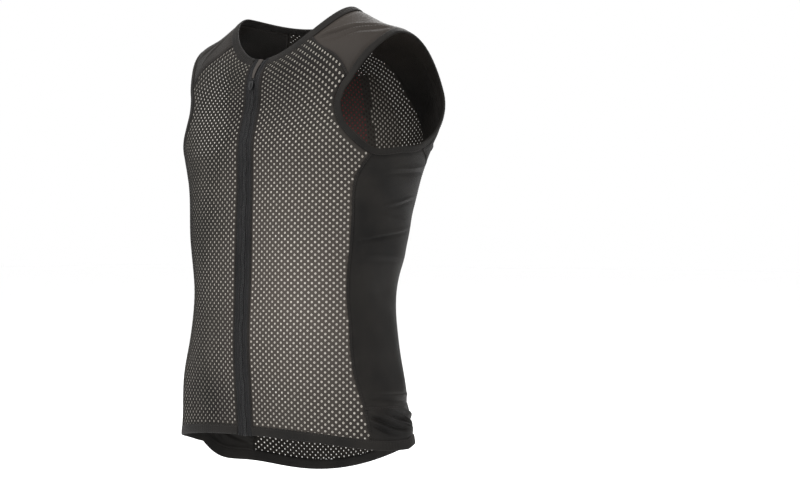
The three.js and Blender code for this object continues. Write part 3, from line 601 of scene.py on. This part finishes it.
def netPlaces(zeroAt, lowEdge, highEdge, rowLineAround, span, covered=None):
    # cells of a staggered hexagon lattice on the form: s runs along a level, r up the row line
    ups, arounds = np.linspace(0, 1, 401), np.linspace(*span, 361)
    levels = wornForm(arounds[None, :], ups[:, None])
    along = np.pad(np.cumsum(length(np.diff(levels, axis=1)), axis=1), ((0, 0), (1, 0)))
    along -= lookUp(zeroAt(ups), arounds, along)[:, None]
    rowLine = distances(lineAt(rowLineAround, ups))
    sLow, sHigh = (lookUp(edge(ups), arounds, along) for edge in (lowEdge, highEdge))
    rows = int(rowLine[-1] / net["rowPitch"])
    most = int(max(np.abs(sLow).max(), np.abs(sHigh).max()) / net["pitch"]) + 2
    j, i = np.meshgrid(np.arange(rows), np.arange(-most, most + 1), indexing="ij")
    j, kx = j.ravel(), (2 * i + j % 2).ravel()
    s, r = kx * net["pitch"] / 2, j * net["rowPitch"]
    low, high = (np.interp(r, rowLine, edge) for edge in (sLow, sHigh))
    over = net["overEdge"] * net["pitch"]
    near = (s > low - over) & (s < high + over)
    grid = np.linspace(along.min(), along.max(), 1201)
    table = np.array([np.interp(grid, row, arounds) for row in along])

    def placed(sAt, rAt):
        # lattice lengths to (around, up): the level first, then the turn along it
        up = np.interp(rAt, rowLine, ups)
        inside = np.clip(sAt, np.interp(rAt, rowLine, sLow), np.interp(rAt, rowLine, sHigh))
        level = up * (len(ups) - 1)
        g = np.clip((inside - grid[0]) / (grid[1] - grid[0]), 0, len(grid) - 1.001)
        k, m = np.clip(level.astype(int), 0, len(ups) - 2), g.astype(int)
        f, h = g - m, level - k
        below, above = ((1 - f) * table[row, m] + f * table[row, m + 1] for row in (k, k + 1))
        return (1 - h) * below + h * above, up, inside

    centreAround, centreUp, _ = placed(s, r)
    margin = riseFor(net["underBand"], centreAround, centreUp)
    keep = (near & (centreUp > hemTop(centreAround) - margin)
            & (centreUp < neckFoot(centreAround) + margin))
    kx, j, s, r, low, high, centreAround, centreUp = (
        v[keep] for v in (kx, j, s, r, low, high, centreAround, centreUp))
    keys = np.stack([kx[:, None] + (1, 0, -1, -1, 0, 1),
                     3 * j[:, None] + (1, 2, 1, -1, -2, -1)], -1)
    unique, index = np.unique(keys.reshape(-1, 2), axis=0, return_inverse=True)
    index = index.reshape(-1, 6)
    cornerS, cornerR = unique[:, 0] * net["pitch"] / 2, unique[:, 1] * net["rowPitch"] / 3
    angles = np.radians([30, 90, 150, 210, 270, 330])

    def ringAt(radius, which):
        # the six corners of a ring of that radius in each cell that is asked for
        return ((s[which, None] + radius * np.cos(angles)).ravel(),
                (r[which, None] + radius * np.sin(angles)).ravel())

    pierced = np.minimum(s - low, high - s) > net["plainEdge"] + net["hole"]
    behind = np.zeros(len(s), int) if covered is None else covered(centreAround, centreUp)
    return {"placed": placed, "corners": (cornerS, cornerR), "index": index, "ringAt": ringAt,
            "open": pierced, "behind": behind, "low": (rowLine, sLow), "high": (rowLine, sHigh)}


def between(outer, inner):
    # the faces between two rings of six for each cell
    sixes = [outer, np.roll(outer, -1, 1), np.roll(inner, -1, 1), inner]
    return np.stack(sixes, -1).reshape(-1, 4)


def netPiece(name, cells, isRight):
    # the cells' corners, crowned and dipped beside the seams, round six-sided holes
    placed, index, pierced = cells["placed"], cells["index"], cells["open"]
    sCorner, rCorner = cells["corners"]
    around, up, inside = placed(sCorner, rCorner)
    edge = np.minimum(inside - np.interp(rCorner, *cells["low"]),
                      np.interp(rCorner, *cells["high"]) - inside)
    dip = net["seamDip"] * np.exp(-(edge / net["seamReach"]) ** 2)
    corners = laid(onSide(around, isRight), up, net["crown"] - dip)
    ring = cells["ringAt"](net["hole"], pierced)
    ringAround, ringUp, _ = placed(*ring)
    points = np.concatenate([corners, laid(onSide(ringAround, isRight), ringUp)])
    own = len(corners) + np.arange(pierced.sum() * 6).reshape(-1, 6)
    solid = index[~pierced]
    quads = np.concatenate([between(index[pierced], own), solid[:, :4], solid[:, [0, 3, 4, 5]]])
    a, b, c, d = (points[quads[:, k]] for k in range(4))
    quads = quads[length(np.cross(c - a, d - b)) / 2 > net["leastArea"]]
    uv = np.concatenate([np.column_stack(cells["corners"]), np.column_stack(ring)])
    used, fresh = np.unique(quads, return_inverse=True)
    return meshFrom(name, points[used], fresh.reshape(quads.shape), uv[used], isRight)


def corePiece(name, cells, isRight, kind=0):
    # a flat pale ring in each hole, half way through the net, with a pinhole left open
    shown = cells["open"] & (cells["behind"] == kind)
    places = []
    height = -net["thickness"] * 0.5 + net["crown"] * 0.3
    for radius in (net["coreReach"], net["coreHole"]):
        around, up, _ = cells["placed"](*cells["ringAt"](radius, shown))
        places.append(laid(onSide(around, isRight), up, height))
    outer = np.arange(len(places[0])).reshape(-1, 6)
    quads = between(outer, outer + len(places[0]))
    return meshFrom(name, np.concatenate(places), quads, flip=isRight)


def zipEdgeAt(up):
    # the outer edge of the zip at a height
    return -90 + turnFor(form["zipWidth"] / 2, up, "squareFront")


def edgeAt(line):
    # a line up the form as a function of up
    order = np.argsort(line[:, 1])
    return lambda up: np.interp(up, line[order, 1], line[order, 0])


frontRight = edgeAt(joined(frontSide, chestEdge, frontYoke[::-1]))
frontCells = netPlaces(zipEdgeAt, zipEdgeAt, frontRight, -68, (-92, 0))
for side, isRight in sides.items():
    dress(netPiece(f"front_net_{side}", frontCells, isRight), netYarn, "net",
          f"front_mesh_{side}", wall=net["thickness"])
    dress(corePiece(f"front_core_{side}", frontCells, isRight), coreYarn, "net")

# The back protector's settings and its width in rows, which the net over its lining needs too

pad = {"base": form["layerGap"], "rim": 3.5, "border": 10, "gatherTopAt": 0.785, "pleats": 7,
       "pleat": 2.8, "middle": (80, 120), "upper": (80, 60), "side": (40, 60), "lining": 53,
       "liningEdge": 9, "fill": 0.5, "edge": (form["layerGap"], 7.5, 0), "seam": (4.0, 3.4, 0),
       "seamHalf": 0.0035, "seamRise": 4.5}
padRows = np.array([
    # up, half width as a share of the strip for the middle and of the pad for the whole
    (form["padBottomAt"], 0.9, 0.43), (form["padBottomAt"] + 0.012, 1.23, 0.59),
    (form["padRoundedAt"], 1.46, 0.7), (0.22, 1.6, 0.77), (0.34, 1.77, 0.85), (0.44, 1.96, 0.94),
    (form["padWaistAt"], 1.98, 0.98), (0.565, 1.5, 1), (0.63, 1.17, 1), (form["padSeamAt"], 1, 1),
    (0.78, 0.95, 0.9), (0.84, 0.93, 0.72), (form["padTopAt"], 0.92, 0.56),
])


def stripHalf(up):
    # half the middle strip in mm
    return hermite(padRows[:, 0], padRows[:, 1], up) * form["padStripWidth"] / 2


def wholeHalf(up):
    # half the whole pad in mm
    return hermite(padRows[:, 0], padRows[:, 2], up) * form["padWidth"] / 2


def underPad(around, up):
    # 0 beside the pad's lining, 1 over the red of it and 2 over its dark edge
    at = np.clip(up, form["padBottomAt"], form["padTopAt"])
    half = np.minimum(wholeHalf(at) - pad["border"] - 1, pad["lining"])
    inner, outer = (turnFor(half + more, at, "squareBack") for more in (0, pad["liningEdge"]))
    aside = np.abs(around - 90)
    return np.where(up == at, (aside < outer) * (2 - (aside < inner)), 0)


leftSeam = edgeAt(joined(backSide, backYoke[::-1]))
backCells = netPlaces(lambda up: np.full(np.shape(up), 90.0), leftSeam,
                      lambda up: 180 - leftSeam(up), 112, (20, 160), underPad)
dress(netPiece("back_net", backCells, False), backYarn, "net", "back_mesh", wall=net["thickness"])
dress(corePiece("back_core", backCells, False), backCoreYarn, "net")
dress(corePiece("back_core_red", backCells, False, 1), redLining, "red_mesh")
dress(corePiece("back_core_dark", backCells, False, 2), bindingKnit, "pad_cover")
print("nets: made")

# Stretch cloth: yokes and side panels, rolled in and puckered along their seams

panel = {"thickness": 1.4, "crown": 0.3, "dip": 1.3, "reach": 4.0, "pucker": 0.28,
         "puckerPitch": 6.5, "puckerReach": 7.0, "creaseReach": 8.0, "tuck": 1.6,
         "yoke": (124, 56), "side": (44, 284)}


def edgeLengths(points):
    # mm from each point to the nearest of the four borders, and the lengths along the grid
    across, upwards = clothUv(points).reshape(*points.shape[:2], 2).transpose(2, 0, 1)
    across = across - across[:, :1]
    sideways = np.minimum(across, across[:, -1:] - across)
    lengthwise = np.minimum(upwards, upwards[-1:] - upwards)
    return sideways, lengthwise, across, upwards


def panelPiece(node, name, edges, size, isRight, tuck=0.0):
    # the patch, crowned, rolled in at its edges and creased; tuck goes on under the band below
    grid = patch(*edges, closerAtEnds(size[0]), closerAtEnds(size[1], 0.6))
    around, up = onSide(grid[..., 0], isRight), grid[..., 1]
    up[0] -= riseFor(tuck, around[0], up[0])
    sideways, lengthwise, across, upwards = edgeLengths(plainForm(around, up))
    edge = np.minimum(sideways, lengthwise)
    wave = 2 * np.pi / panel["puckerPitch"]
    puckers = (np.sin(upwards * wave) * np.exp(-(sideways / panel["puckerReach"]) ** 2)
               + np.sin(across * wave) * np.exp(-(lengthwise / panel["puckerReach"]) ** 2))
    height = (panel["crown"] - panel["dip"] * np.exp(-(edge / panel["reach"]) ** 2)
              + panel["pucker"] * puckers * (1 - np.exp(-(edge / 2.0) ** 2)))
    inside = 1 - np.exp(-(edge / panel["creaseReach"]) ** 2)[..., None]
    points = (inside * laid(around, up, height, creasedForm)
              + (1 - inside) * laid(around, up, height))
    dress(gridPiece(name, points, flip=isRight), stretchKnit, "stretch_cloth", node,
          wall=panel["thickness"])


yokeTop = joined(arc(frontYoke[0, 0], 0, counts["shoulderFront"], neckFoot),
                 arc(0, backYoke[0, 0], counts["shoulderBack"], neckFoot), backYoke)
sideHem = arc(frontSide[0, 0], backSide[0, 0], counts["under"] + counts["short"], hemTop)
sideTop = joined(underEdge[::-1], shortSeam)
for side, isRight in sides.items():
    panelPiece(f"yoke_{side}", f"yoke_cloth_{side}",
               (yokeEdge, yokeTop, frontYoke[::-1], shortSeam), panel["yoke"], isRight)
    panelPiece(f"side_panel_{side}", f"side_cloth_{side}",
               (sideHem, sideTop, frontSide, backSide), panel["side"], isRight, panel["tuck"])
print("yokes and side panels: made")

# Bands: a rounded section carried along two edges

bands = {
    "sections": 14, "square": 0.55, "ripplePitch": 5.0, "seamWidth": 3.4, "hemSeamAt": 0.081,
    "band": (-2.5, 3.2, 0.18), "seam": (-1.2, 1.7, 0),  # base, thickness and ripple
}


def bandPiece(name, low, high, section, *nodes, closed=False, isRight=False, rise=0.0,
              shape=wornForm, yarn=bindingKnit, slotName="binding"):
    # section: a superellipse between the edges, with a fine ripple of the height along the band;
    # an open band ends in a flattened section
    base, thickness, ripple = section
    rise = np.broadcast_to(rise, len(low))
    if not closed:
        low, high, rise = (np.concatenate([v[:1], v, v[-1:]]) for v in (low, high, rise))
    angle = np.linspace(0, 2 * np.pi, bands["sections"], endpoint=False)
    c, s = np.cos(angle), np.sin(angle)
    across = 0.5 - 0.5 * np.sign(c) * np.abs(c) ** bands["square"]
    lift = 0.5 + 0.5 * np.sign(s) * np.abs(s) ** bands["square"]
    places = low[:, None] * (1 - across[None, :, None]) + high[:, None] * across[None, :, None]
    wave = np.sin(distances(low)[:, None] * 2 * np.pi / bands["ripplePitch"])
    height = base + thickness * lift + ripple * wave * np.sin(np.pi * across) * (s > 0)
    if not closed:
        height[[0, -1]] = base + thickness / 2
    around = onSide(places[..., 0], isRight)
    points = laid(around, places[..., 1], height + rise[:, None], shape)
    piece = gridPiece(name, points, flip=not isRight, wrapAcross=True, wrapUp=closed)
    dress(piece, yarn, slotName, *nodes)


def twin(line, apart):
    # the two lines on either side of one
    return [beside(line, way * apart / 2, closed=False) for way in (-1, 1)]


zipUps = np.linspace(0.02, 0.98, 400)
hemSeamEnds = [edgeAt(line)(bands["hemSeamAt"]) for line in (frontSide, backSide)]
seamLines = {
    "side_hem": lineAt(np.linspace(*hemSeamEnds, 120), bands["hemSeamAt"]), "front_side": frontSide,
    "back_side": backSide, "front_yoke": frontYoke, "back_yoke": backYoke, "armhole": shortSeam,
    "zip": lineAt(zipEdgeAt(zipUps), zipUps),
}
seamShapes = {"side_hem": creasedForm}
for side, isRight in sides.items():
    bandPiece(f"armhole_band_{side}", armholeLoop, armholeEnd, bands["band"],
              f"armhole_binding_{side}", closed=True, isRight=isRight)
    for place, line in seamLines.items():
        bandPiece(f"seam_{place}_{side}", *twin(line, -bands["seamWidth"]), bands["seam"],
                  isRight=isRight, shape=seamShapes.get(place, wornForm))

neckTurn, hemTurn = (turnFor(form["zipWidth"] / 2, up, "squareFront") for up in (1.0, 0.0))
neckAround = np.linspace(-90 + neckTurn, 270 - neckTurn, 520)
hemAround = np.linspace(-90 + hemTurn, 270 - hemTurn, 700)
for name, around, foot, top in (("neck", neckAround, neckFoot(neckAround), 1.0),
                                ("hem", hemAround, 0.0, hemTop(hemAround))):
    bandPiece(f"{name}_band", lineAt(around, foot), lineAt(around, top), bands["band"],
              f"{name}_binding")
print("bands and seams: made")

# Small grains laid in rows: stitches and the turns of the zip coil


def grains(name, centres, along, out, size):
    # each grain has two six-sided rings and is drawn together at both ends
    sideways = unit(np.cross(out, along))
    angle = np.radians(np.arange(0, 360, 60))
    y, z = np.cos(angle) / 2, np.sin(angle) / 2
    local = size * np.vstack([[-0.5, 0, 0], *(np.column_stack([0 * y + x, y, z])
                                              for x in (-0.34, 0.34)), [0.5, 0, 0]])
    axes = np.stack([along, sideways, out], 1)
    points = centres[:, None] + local @ axes
    k = np.arange(1, 7)
    n = k % 6 + 1
    corners = [(0 * k, n, k), (k, n, n + 6), (k, n + 6, k + 6), (0 * k + 13, k + 6, n + 6)]
    faces = np.vstack([np.column_stack(three) for three in corners])
    faces = (faces + np.arange(len(centres))[:, None, None] * len(local)).reshape(-1, 3)
    return meshFrom(name, points.reshape(-1, 3), faces)


stitch = {"pitch": 3.1, "size": (2.3, 0.55, 0.45), "apart": 2.0, "onSeam": 0.55, "onBand": 0.6,
          "inBand": 1.4, "bandShares": (0.0125, -0.0025, -0.0055)}


def rowPlaces(line, pitch, height, isRight=False, shape=wornForm):
    # even places along a line and their directions along and out
    along = distances(line)
    line = readLine(line, along, np.linspace(0, along[-1], int(along[-1] / pitch)))
    around = onSide(line[:, 0], isRight)
    points = laid(around, line[:, 1], height, shape)
    return points, unit(np.gradient(points, axis=0)), outward(around, line[:, 1], shape)


def stitches(name, lines, height, isRight=False, shape=wornForm):
    # grains along lines
    rows = [rowPlaces(line, stitch["pitch"], height, isRight, shape) for line in lines]
    parts = (np.concatenate(part) for part in zip(*rows))
    dress(grains(name, *parts, stitch["size"]), thread, "binding")


seamRows = {place: twin(line, stitch["apart"]) for place, line in seamLines.items()}
hemRows = seamRows.pop("side_hem")
for side, isRight in sides.items():
    stitches(f"seam_stitches_{side}", sum(seamRows.values(), []), stitch["onSeam"], isRight)
    stitches(f"side_hem_stitches_{side}", hemRows, stitch["onSeam"], isRight, creasedForm)
    rim = beside(armholeLoop, stitch["inBand"] - form["armholeBand"])
    stitches(f"armhole_stitches_{side}", [rim], stitch["onBand"], isRight)
atNeck, *atHem = stitch["bandShares"]
bandRows = [lineAt(neckAround, neckFoot(neckAround) + atNeck),
            *(lineAt(hemAround, hemTop(hemAround) + share) for share in atHem)]
stitches("band_stitches", bandRows, stitch["onBand"])
print("stitches: made")

# Zip: two tapes with wavy ribs, the coil, the parted mouth with its flap, and the slider

zipper = {"rows": 420, "columns": 20, "rib": 1.25, "lip": 1.1, "thickness": 1.5, "wander": 0.85,
          "foot": -0.001, "coilPitch": 1.5, "coil": (3.3, 1.0, 1.2), "coilAt": 1.45,
          "coilSlope": 0.12, "web": (-1.1, 1.0), "slit": (-1.9, 0.5), "tongue": (-0.96, 0.2),
          "tonguePuff": 1.3, "slider": (9, 12, 3), "sliderDrop": 10, "bridge": (2.4, 7)}
chainHalf = form["zipChainWidth"] / 2


def mouthHalf(up):
    # half the gap between the tapes: the chain's, then wider in a straight line
    share = np.clip((up - form["zipSliderAt"]) / (1 - form["zipSliderAt"]), 0, 1)
    return chainHalf + (form["zipMouthWidth"] / 2 - chainHalf) * share


def zipWander(up):
    # mm that the closed chain strays to the left, less and less towards the slider
    along = up * form["frontLength"]
    stray = np.sin(along / 8.3) + 0.4 * np.sin(along / 3.7 + 1)
    return zipper["wander"] * stray * np.clip((form["zipSliderAt"] - 0.02 - up) / 0.1, 0, 1)


def zipSheet(name, ups, inner, outer, profile, wall, *nodes, isRight=False, cover=tapeWeave,
             slotName="zip_tape", columns=zipper["columns"]):
    # a strip along the zip; profile gives the height from the share across and the mm along
    up = ups[:, None]
    share = np.linspace(0, 1, columns)[None, :]
    x = inner(up) * (1 - share) + outer(up) * share
    around = -90 + turnFor(x, up, "squareFront")
    along = distances(lineAt(-90.0, ups))[:, None]
    points = laid(onSide(around, isRight), up, profile(share, along) + 0 * x)
    dress(gridPiece(name, points, flip=isRight), cover, slotName, *nodes, wall=wall)


def tapeProfile(share, along):
    # bells across for a lip beside the chain, a groove and a rib, which stray along it
    wander = (0.035 * np.sin(along / 5.4) + 0.03 * np.sin(along / 2.1 + 1)
              + 0.02 * np.sin(along / 1.1))
    lip = zipper["lip"] * np.exp(-((share - 0.2 - wander) / 0.085) ** 2)
    rib = zipper["rib"] * np.exp(-((share - 0.72 - wander * 0.6) / 0.1) ** 2)
    return -0.35 + lip + rib - 0.5 * np.exp(-((share - 0.45) / 0.06) ** 2)


tapeUps = np.linspace(zipper["foot"], 1, zipper["rows"])
for side, isRight in sides.items():
    way = -1 if isRight else 1
    zipSheet(f"zip_weave_{side}", tapeUps, lambda up: mouthHalf(up) + way * zipWander(up),
             lambda up: form["zipWidth"] / 2, tapeProfile, zipper["thickness"],
             f"zip_tape_{side}", isRight=isRight)

chainUps = np.linspace(zipper["foot"], form["zipSliderAt"], 400)
zipSheet("zip_web", chainUps, lambda up: zipWander(up) - chainHalf,
         lambda up: zipWander(up) + chainHalf, lambda share, along: zipper["web"][0],
         zipper["web"][1], columns=8)
coilParts = []
for way in (-1, 1):
    turnAt = -90 + turnFor(way * zipper["coilAt"] + zipWander(chainUps), chainUps, "squareFront")
    centres, along, out = rowPlaces(lineAt(turnAt, chainUps), zipper["coilPitch"], -0.1)
    slope = unit(np.cross(along, out) + along * zipper["coilSlope"] * way)
    coilParts.append((centres + along * way * zipper["coilPitch"] / 4, slope, out))
coilParts = (np.concatenate(parts) for parts in zip(*coilParts))
dress(grains("zip_coil", *coilParts, zipper["coil"]), moulding, "zip_moulding", "zip_chain")


def tongueProfile(share, along):
    # a power of the sine across, with a ripple along
    puff = np.sin(np.pi * share)
    return -0.7 + zipper["tonguePuff"] * puff ** 0.6 + 0.12 * np.sin(along / 1.9) * puff


mouthUps = np.linspace(form["zipSliderAt"] + 0.004, 1, 60)
# painted shade: a dark sheet of tape weave laid deep in the parted mouth, where its opening lies in
# shade
zipSheet("zip_slit_shade", mouthUps, lambda up: -mouthHalf(up), mouthHalf,
         lambda share, along: zipper["slit"][0], zipper["slit"][1])
zipSheet("zip_tongue", mouthUps, lambda up: mouthHalf(up) * zipper["tongue"][0],
         lambda up: mouthHalf(up) * zipper["tongue"][1], tongueProfile, 1.0, "zip_flap",
         cover=flapKnit, slotName="stretch_cloth")

sliderUp = form["zipSliderAt"] - riseFor(zipper["sliderDrop"], -90, form["zipSliderAt"])
sliderOut = outward(np.array(-90.0), sliderUp, wornForm)
sliderRise = unit(stepsAlong(np.array(-90.0), sliderUp, wornForm)[1])
sliderAxes = np.stack([np.cross(sliderRise, sliderOut), sliderRise, sliderOut])


def block(name, outline, low, high, bevel, *nodes):
    # an outline in the slider's plane, raised between two heights and rounded
    count = len(outline)
    local = np.vstack([np.column_stack([outline, np.full(count, z)]) for z in (low, high)])
    points = wornForm(-90, sliderUp) + local @ sliderAxes
    k = np.arange(count)
    n = (k + 1) % count
    mesh = bpy.data.meshes.new(name)
    mesh.from_pydata((points * mm).tolist(), [],
                     [k[::-1].tolist(), (k + count).tolist(),
                      *np.column_stack([k, n, n + count, k + count]).tolist()])
    mesh.update()
    piece = bpy.data.objects.new(name, mesh)
    bpy.context.collection.objects.link(piece)
    rounding = piece.modifiers.new("rounding", "BEVEL")
    rounding.width, rounding.segments = bevel * mm, 3
    dress(piece, moulding, "zip_moulding", *nodes)


wide, tall, deep = zipper["slider"]
body = np.array([(-0.25, -0.5), (0.25, -0.5), (0.5, 0), (0.38, 0.5), (-0.38, 0.5), (-0.5, 0)])
block("slider_body", body * (wide, tall), 1.3, 1.3 + deep, 0.9, "zip_slider")
bridge = np.array([(-0.5, -0.5), (0.5, -0.5), (0.5, 0.5), (-0.5, 0.5)])
block("slider_bridge", bridge * zipper["bridge"], 1.1 + deep, 2.6 + deep, 0.6)
print("zip: made")

# Back protector: crowned pads with rounded rims, red windows, gathered corners and borders


def padSurface(low, high, inner, outer, size):
    # places between two heights and two edges, closer at the rims
    across, upwards = closerAtEnds(size[0], 0.9)[None, :], closerAtEnds(size[1], 0.9)[:, None]
    up = low + (high - low) * upwards
    x = inner(up) * (1 - across) + outer(up) * across
    return 90 + turnFor(x, up, "squareBack"), np.broadcast_to(up, x.shape), across, upwards


def padPiece(name, places, most, cover, slotName, *nodes, relief=0.0, isRight=False):
    # crown: the edge's thickness plus a bulge with sin^0.5 across and a steeper one along, and the
    # rim rounded to a quarter circle; the underside is the red lining
    around, up, across, upwards = places
    around = onSide(around, isRight)
    sideways, lengthwise, _, _ = edgeLengths(plainForm(around, up))
    edge = np.clip(np.minimum(sideways, lengthwise) / pad["rim"], 0, 1)
    bulge = np.sin(np.pi * across).clip(0) ** 0.5 * np.sin(np.pi * upwards).clip(0) ** 0.3
    thickness = form["padEdgeThickness"] + (most - form["padEdgeThickness"]) * bulge
    height = thickness * (0.2 + 0.8 * np.sqrt(1 - (1 - edge) ** 2)) + relief * edge
    top, bottom = laid(around, up, pad["base"] + height), laid(around, up, pad["base"])
    rows, columns = up.shape
    quads = gridQuads(rows, columns)
    grid = np.arange(rows * columns).reshape(rows, columns)
    loop = np.concatenate([grid[0, :-1], grid[:-1, -1], grid[-1, :0:-1], grid[:0:-1, 0]])
    under = rows * columns
    rim = np.column_stack([loop + under, np.roll(loop, -1) + under, np.roll(loop, -1), loop])
    faces = np.concatenate([quads, quads[:, ::-1] + under, rim])
    uv = np.tile(clothUv(top), (2, 1))
    piece = meshFrom(name, np.concatenate([top, bottom]).reshape(-1, 3), faces, uv, isRight)
    dress(piece, cover, slotName, *nodes)
    piece.data.materials.append(redLining)
    lower = np.zeros(len(faces), dtype=np.int32)
    lower[len(quads):2 * len(quads)] = 1
    piece.data.polygons.foreach_set("material_index", lower)
    return piece


def insideBorder(up):
    # where the pad's border begins, to the left of the middle
    return pad["border"] - wholeHalf(up)


def stripPlaces(low, high, size):
    # the middle strip between two heights
    return padSurface(low, high, lambda up: -stripHalf(up), stripHalf, size)


def sidePlaces(low, high):
    # from the border to the middle strip between two heights
    return padSurface(low, high, insideBorder, lambda up: -stripHalf(up), pad["side"])


seamAt, windowMost = form["padSeamAt"], form["padWindowThickness"]
paddedPieces = [
    padPiece("pad_middle", stripPlaces(form["padBottomAt"], seamAt, pad["middle"]),
             form["padThickness"], padFleece, "pad_cover", "pad_cover_lower"),
    padPiece("pad_upper", stripPlaces(seamAt, form["padTopAt"], pad["upper"]),
             form["padUpperThickness"], padFleece, "pad_cover", "pad_cover_upper"),
]
gather = sidePlaces(seamAt, pad["gatherTopAt"])
fan = np.arctan2(1.05 - gather[3], 1.08 - gather[2])  # turn about the corner that the pleats leave
pleats = pad["pleat"] * np.sin(4 * pad["pleats"] * fan) * gather[3] ** 0.3
rimUps = np.linspace(form["padWindowFootAt"] + 0.002, form["padCornerTopAt"], 200)
rimEdges = [lineAt(90 + turnFor(half, rimUps, "squareBack"), rimUps)
            for half in (insideBorder(rimUps), -wholeHalf(rimUps))]
for side, isRight in sides.items():
    paddedPieces += [
        padPiece(f"window_{side}", sidePlaces(form["padWindowFootAt"], seamAt), windowMost, redNet,
                 "red_mesh", f"pad_window_{side}", isRight=isRight),
        padPiece(f"corner_{side}", sidePlaces(pad["gatherTopAt"], form["padCornerTopAt"]),
                 windowMost - 3, redNet, "red_mesh", f"pad_corner_{side}", isRight=isRight),
        # the gathered corners take the lighter cover, a painted highlight on the pleats
        padPiece(f"pad_gather_{side}", gather, windowMost - 1, gatherHighlightKnit, "pad_cover",
                 relief=pleats, isRight=isRight),
    ]
    bandPiece(f"pad_border_{side}", *rimEdges, pad["edge"], isRight=isRight, slotName="pad_cover")

# piping along the cross seam, which climbs over the strip's crown
seamX = np.linspace(-1, 1, 240)
seamAround = 90 + turnFor(seamX * (wholeHalf(seamAt) - 1), seamAt, "squareBack")
seamShare = np.clip(np.abs(seamX) * wholeHalf(seamAt) / stripHalf(seamAt), 0, 1)
bandPiece("pad_seam", *(lineAt(seamAround, seamAt + way * pad["seamHalf"]) for way in (-1, 1)),
          pad["seam"], rise=pad["seamRise"] * np.sqrt(np.cos(np.pi / 2 * seamShare).clip(0)),
          yarn=thread, slotName="pad_cover")
print("back protector: made")

# Label inside the back of the neck, and the woven tab above the pad


def besideSpine(name, low, high, width, height, wall, *finish):
    # a strip at the middle of the back; height is from the shares across and up
    up = np.linspace(low, high, 40)[:, None]
    x = np.linspace(-width / 2, width / 2, 28)[None, :] + 0 * up
    around = 90 + turnFor(x, up, "squareBack")
    points = laid(around, up, height(x / width, (up - low) / (high - low)))
    dress(gridPiece(name, points), *finish, wall=wall)


def above(up, distance):
    # the height so many mm higher at the middle of the back
    return up + riseFor(distance, 90, up)


bandFoot = neckFoot(90)
labelTop = above(bandFoot, -3)
besideSpine("label_satin", above(labelTop, -form["labelLength"]), labelTop,
            form["labelWidth"],
            lambda s, t: -3.2 - 1.6 * (1 - t) ** 2 + 0.35 * np.sin(7 * t + 3 * s),
            0.4, satin, "label", "neck_label")
besideSpine("tab_weave", above(form["padTopAt"], 2.5), above(bandFoot, 1), form["tabWidth"],
            lambda s, t: 2.1 + 0.2 * np.sin(9 * t) - 2.1 * t**12 + 0 * s,
            1.2, bindingKnit, "binding", "neck_tab")
print("label and tab: made")

# What each sheet was cut to before it was sewn: width and length in mm, the cloth's share of that
# rectangle, how it is held, what it is sewn to and the pieces on it

sideCuts = {
    "front_net": (190, 556, 0.78, ("seam_zip", "seam_front_side", "seam_front_yoke"), "front_core"),
    "yoke_cloth": (162, 456, 0.47, ("seam_front_yoke", "seam_back_yoke", "armhole_band")),
    "side_cloth": (164, 408, 0.87, ("seam_front_side", "seam_back_side", "armhole_band")),
}
cuts = [(f"{name}_{side}", width, tall, share, "stretched", [f"{at}_{side}" for at in sewnTo],
         *(f"{piece}_{side}" for piece in onIt))
        for side in sides for name, (width, tall, share, sewnTo, *onIt) in sideCuts.items()]
cuts += [
    ("back_net", 380, 725, 0.71, "stretched",
     ["seam_back_side_left", "seam_back_side_right", "neck_band"],
     "back_core", "back_core_red", "back_core_dark"),
    ("label_satin", form["labelWidth"], form["labelLength"], 1, "hung", ["neck_band"]),
    ("tab_weave", form["tabWidth"], 57, 1, "stretched", ["neck_band", "pad_upper"]),
    ("zip_tongue", 10, 48, 0.7, "stretched", ["zip_weave_right"]),
]
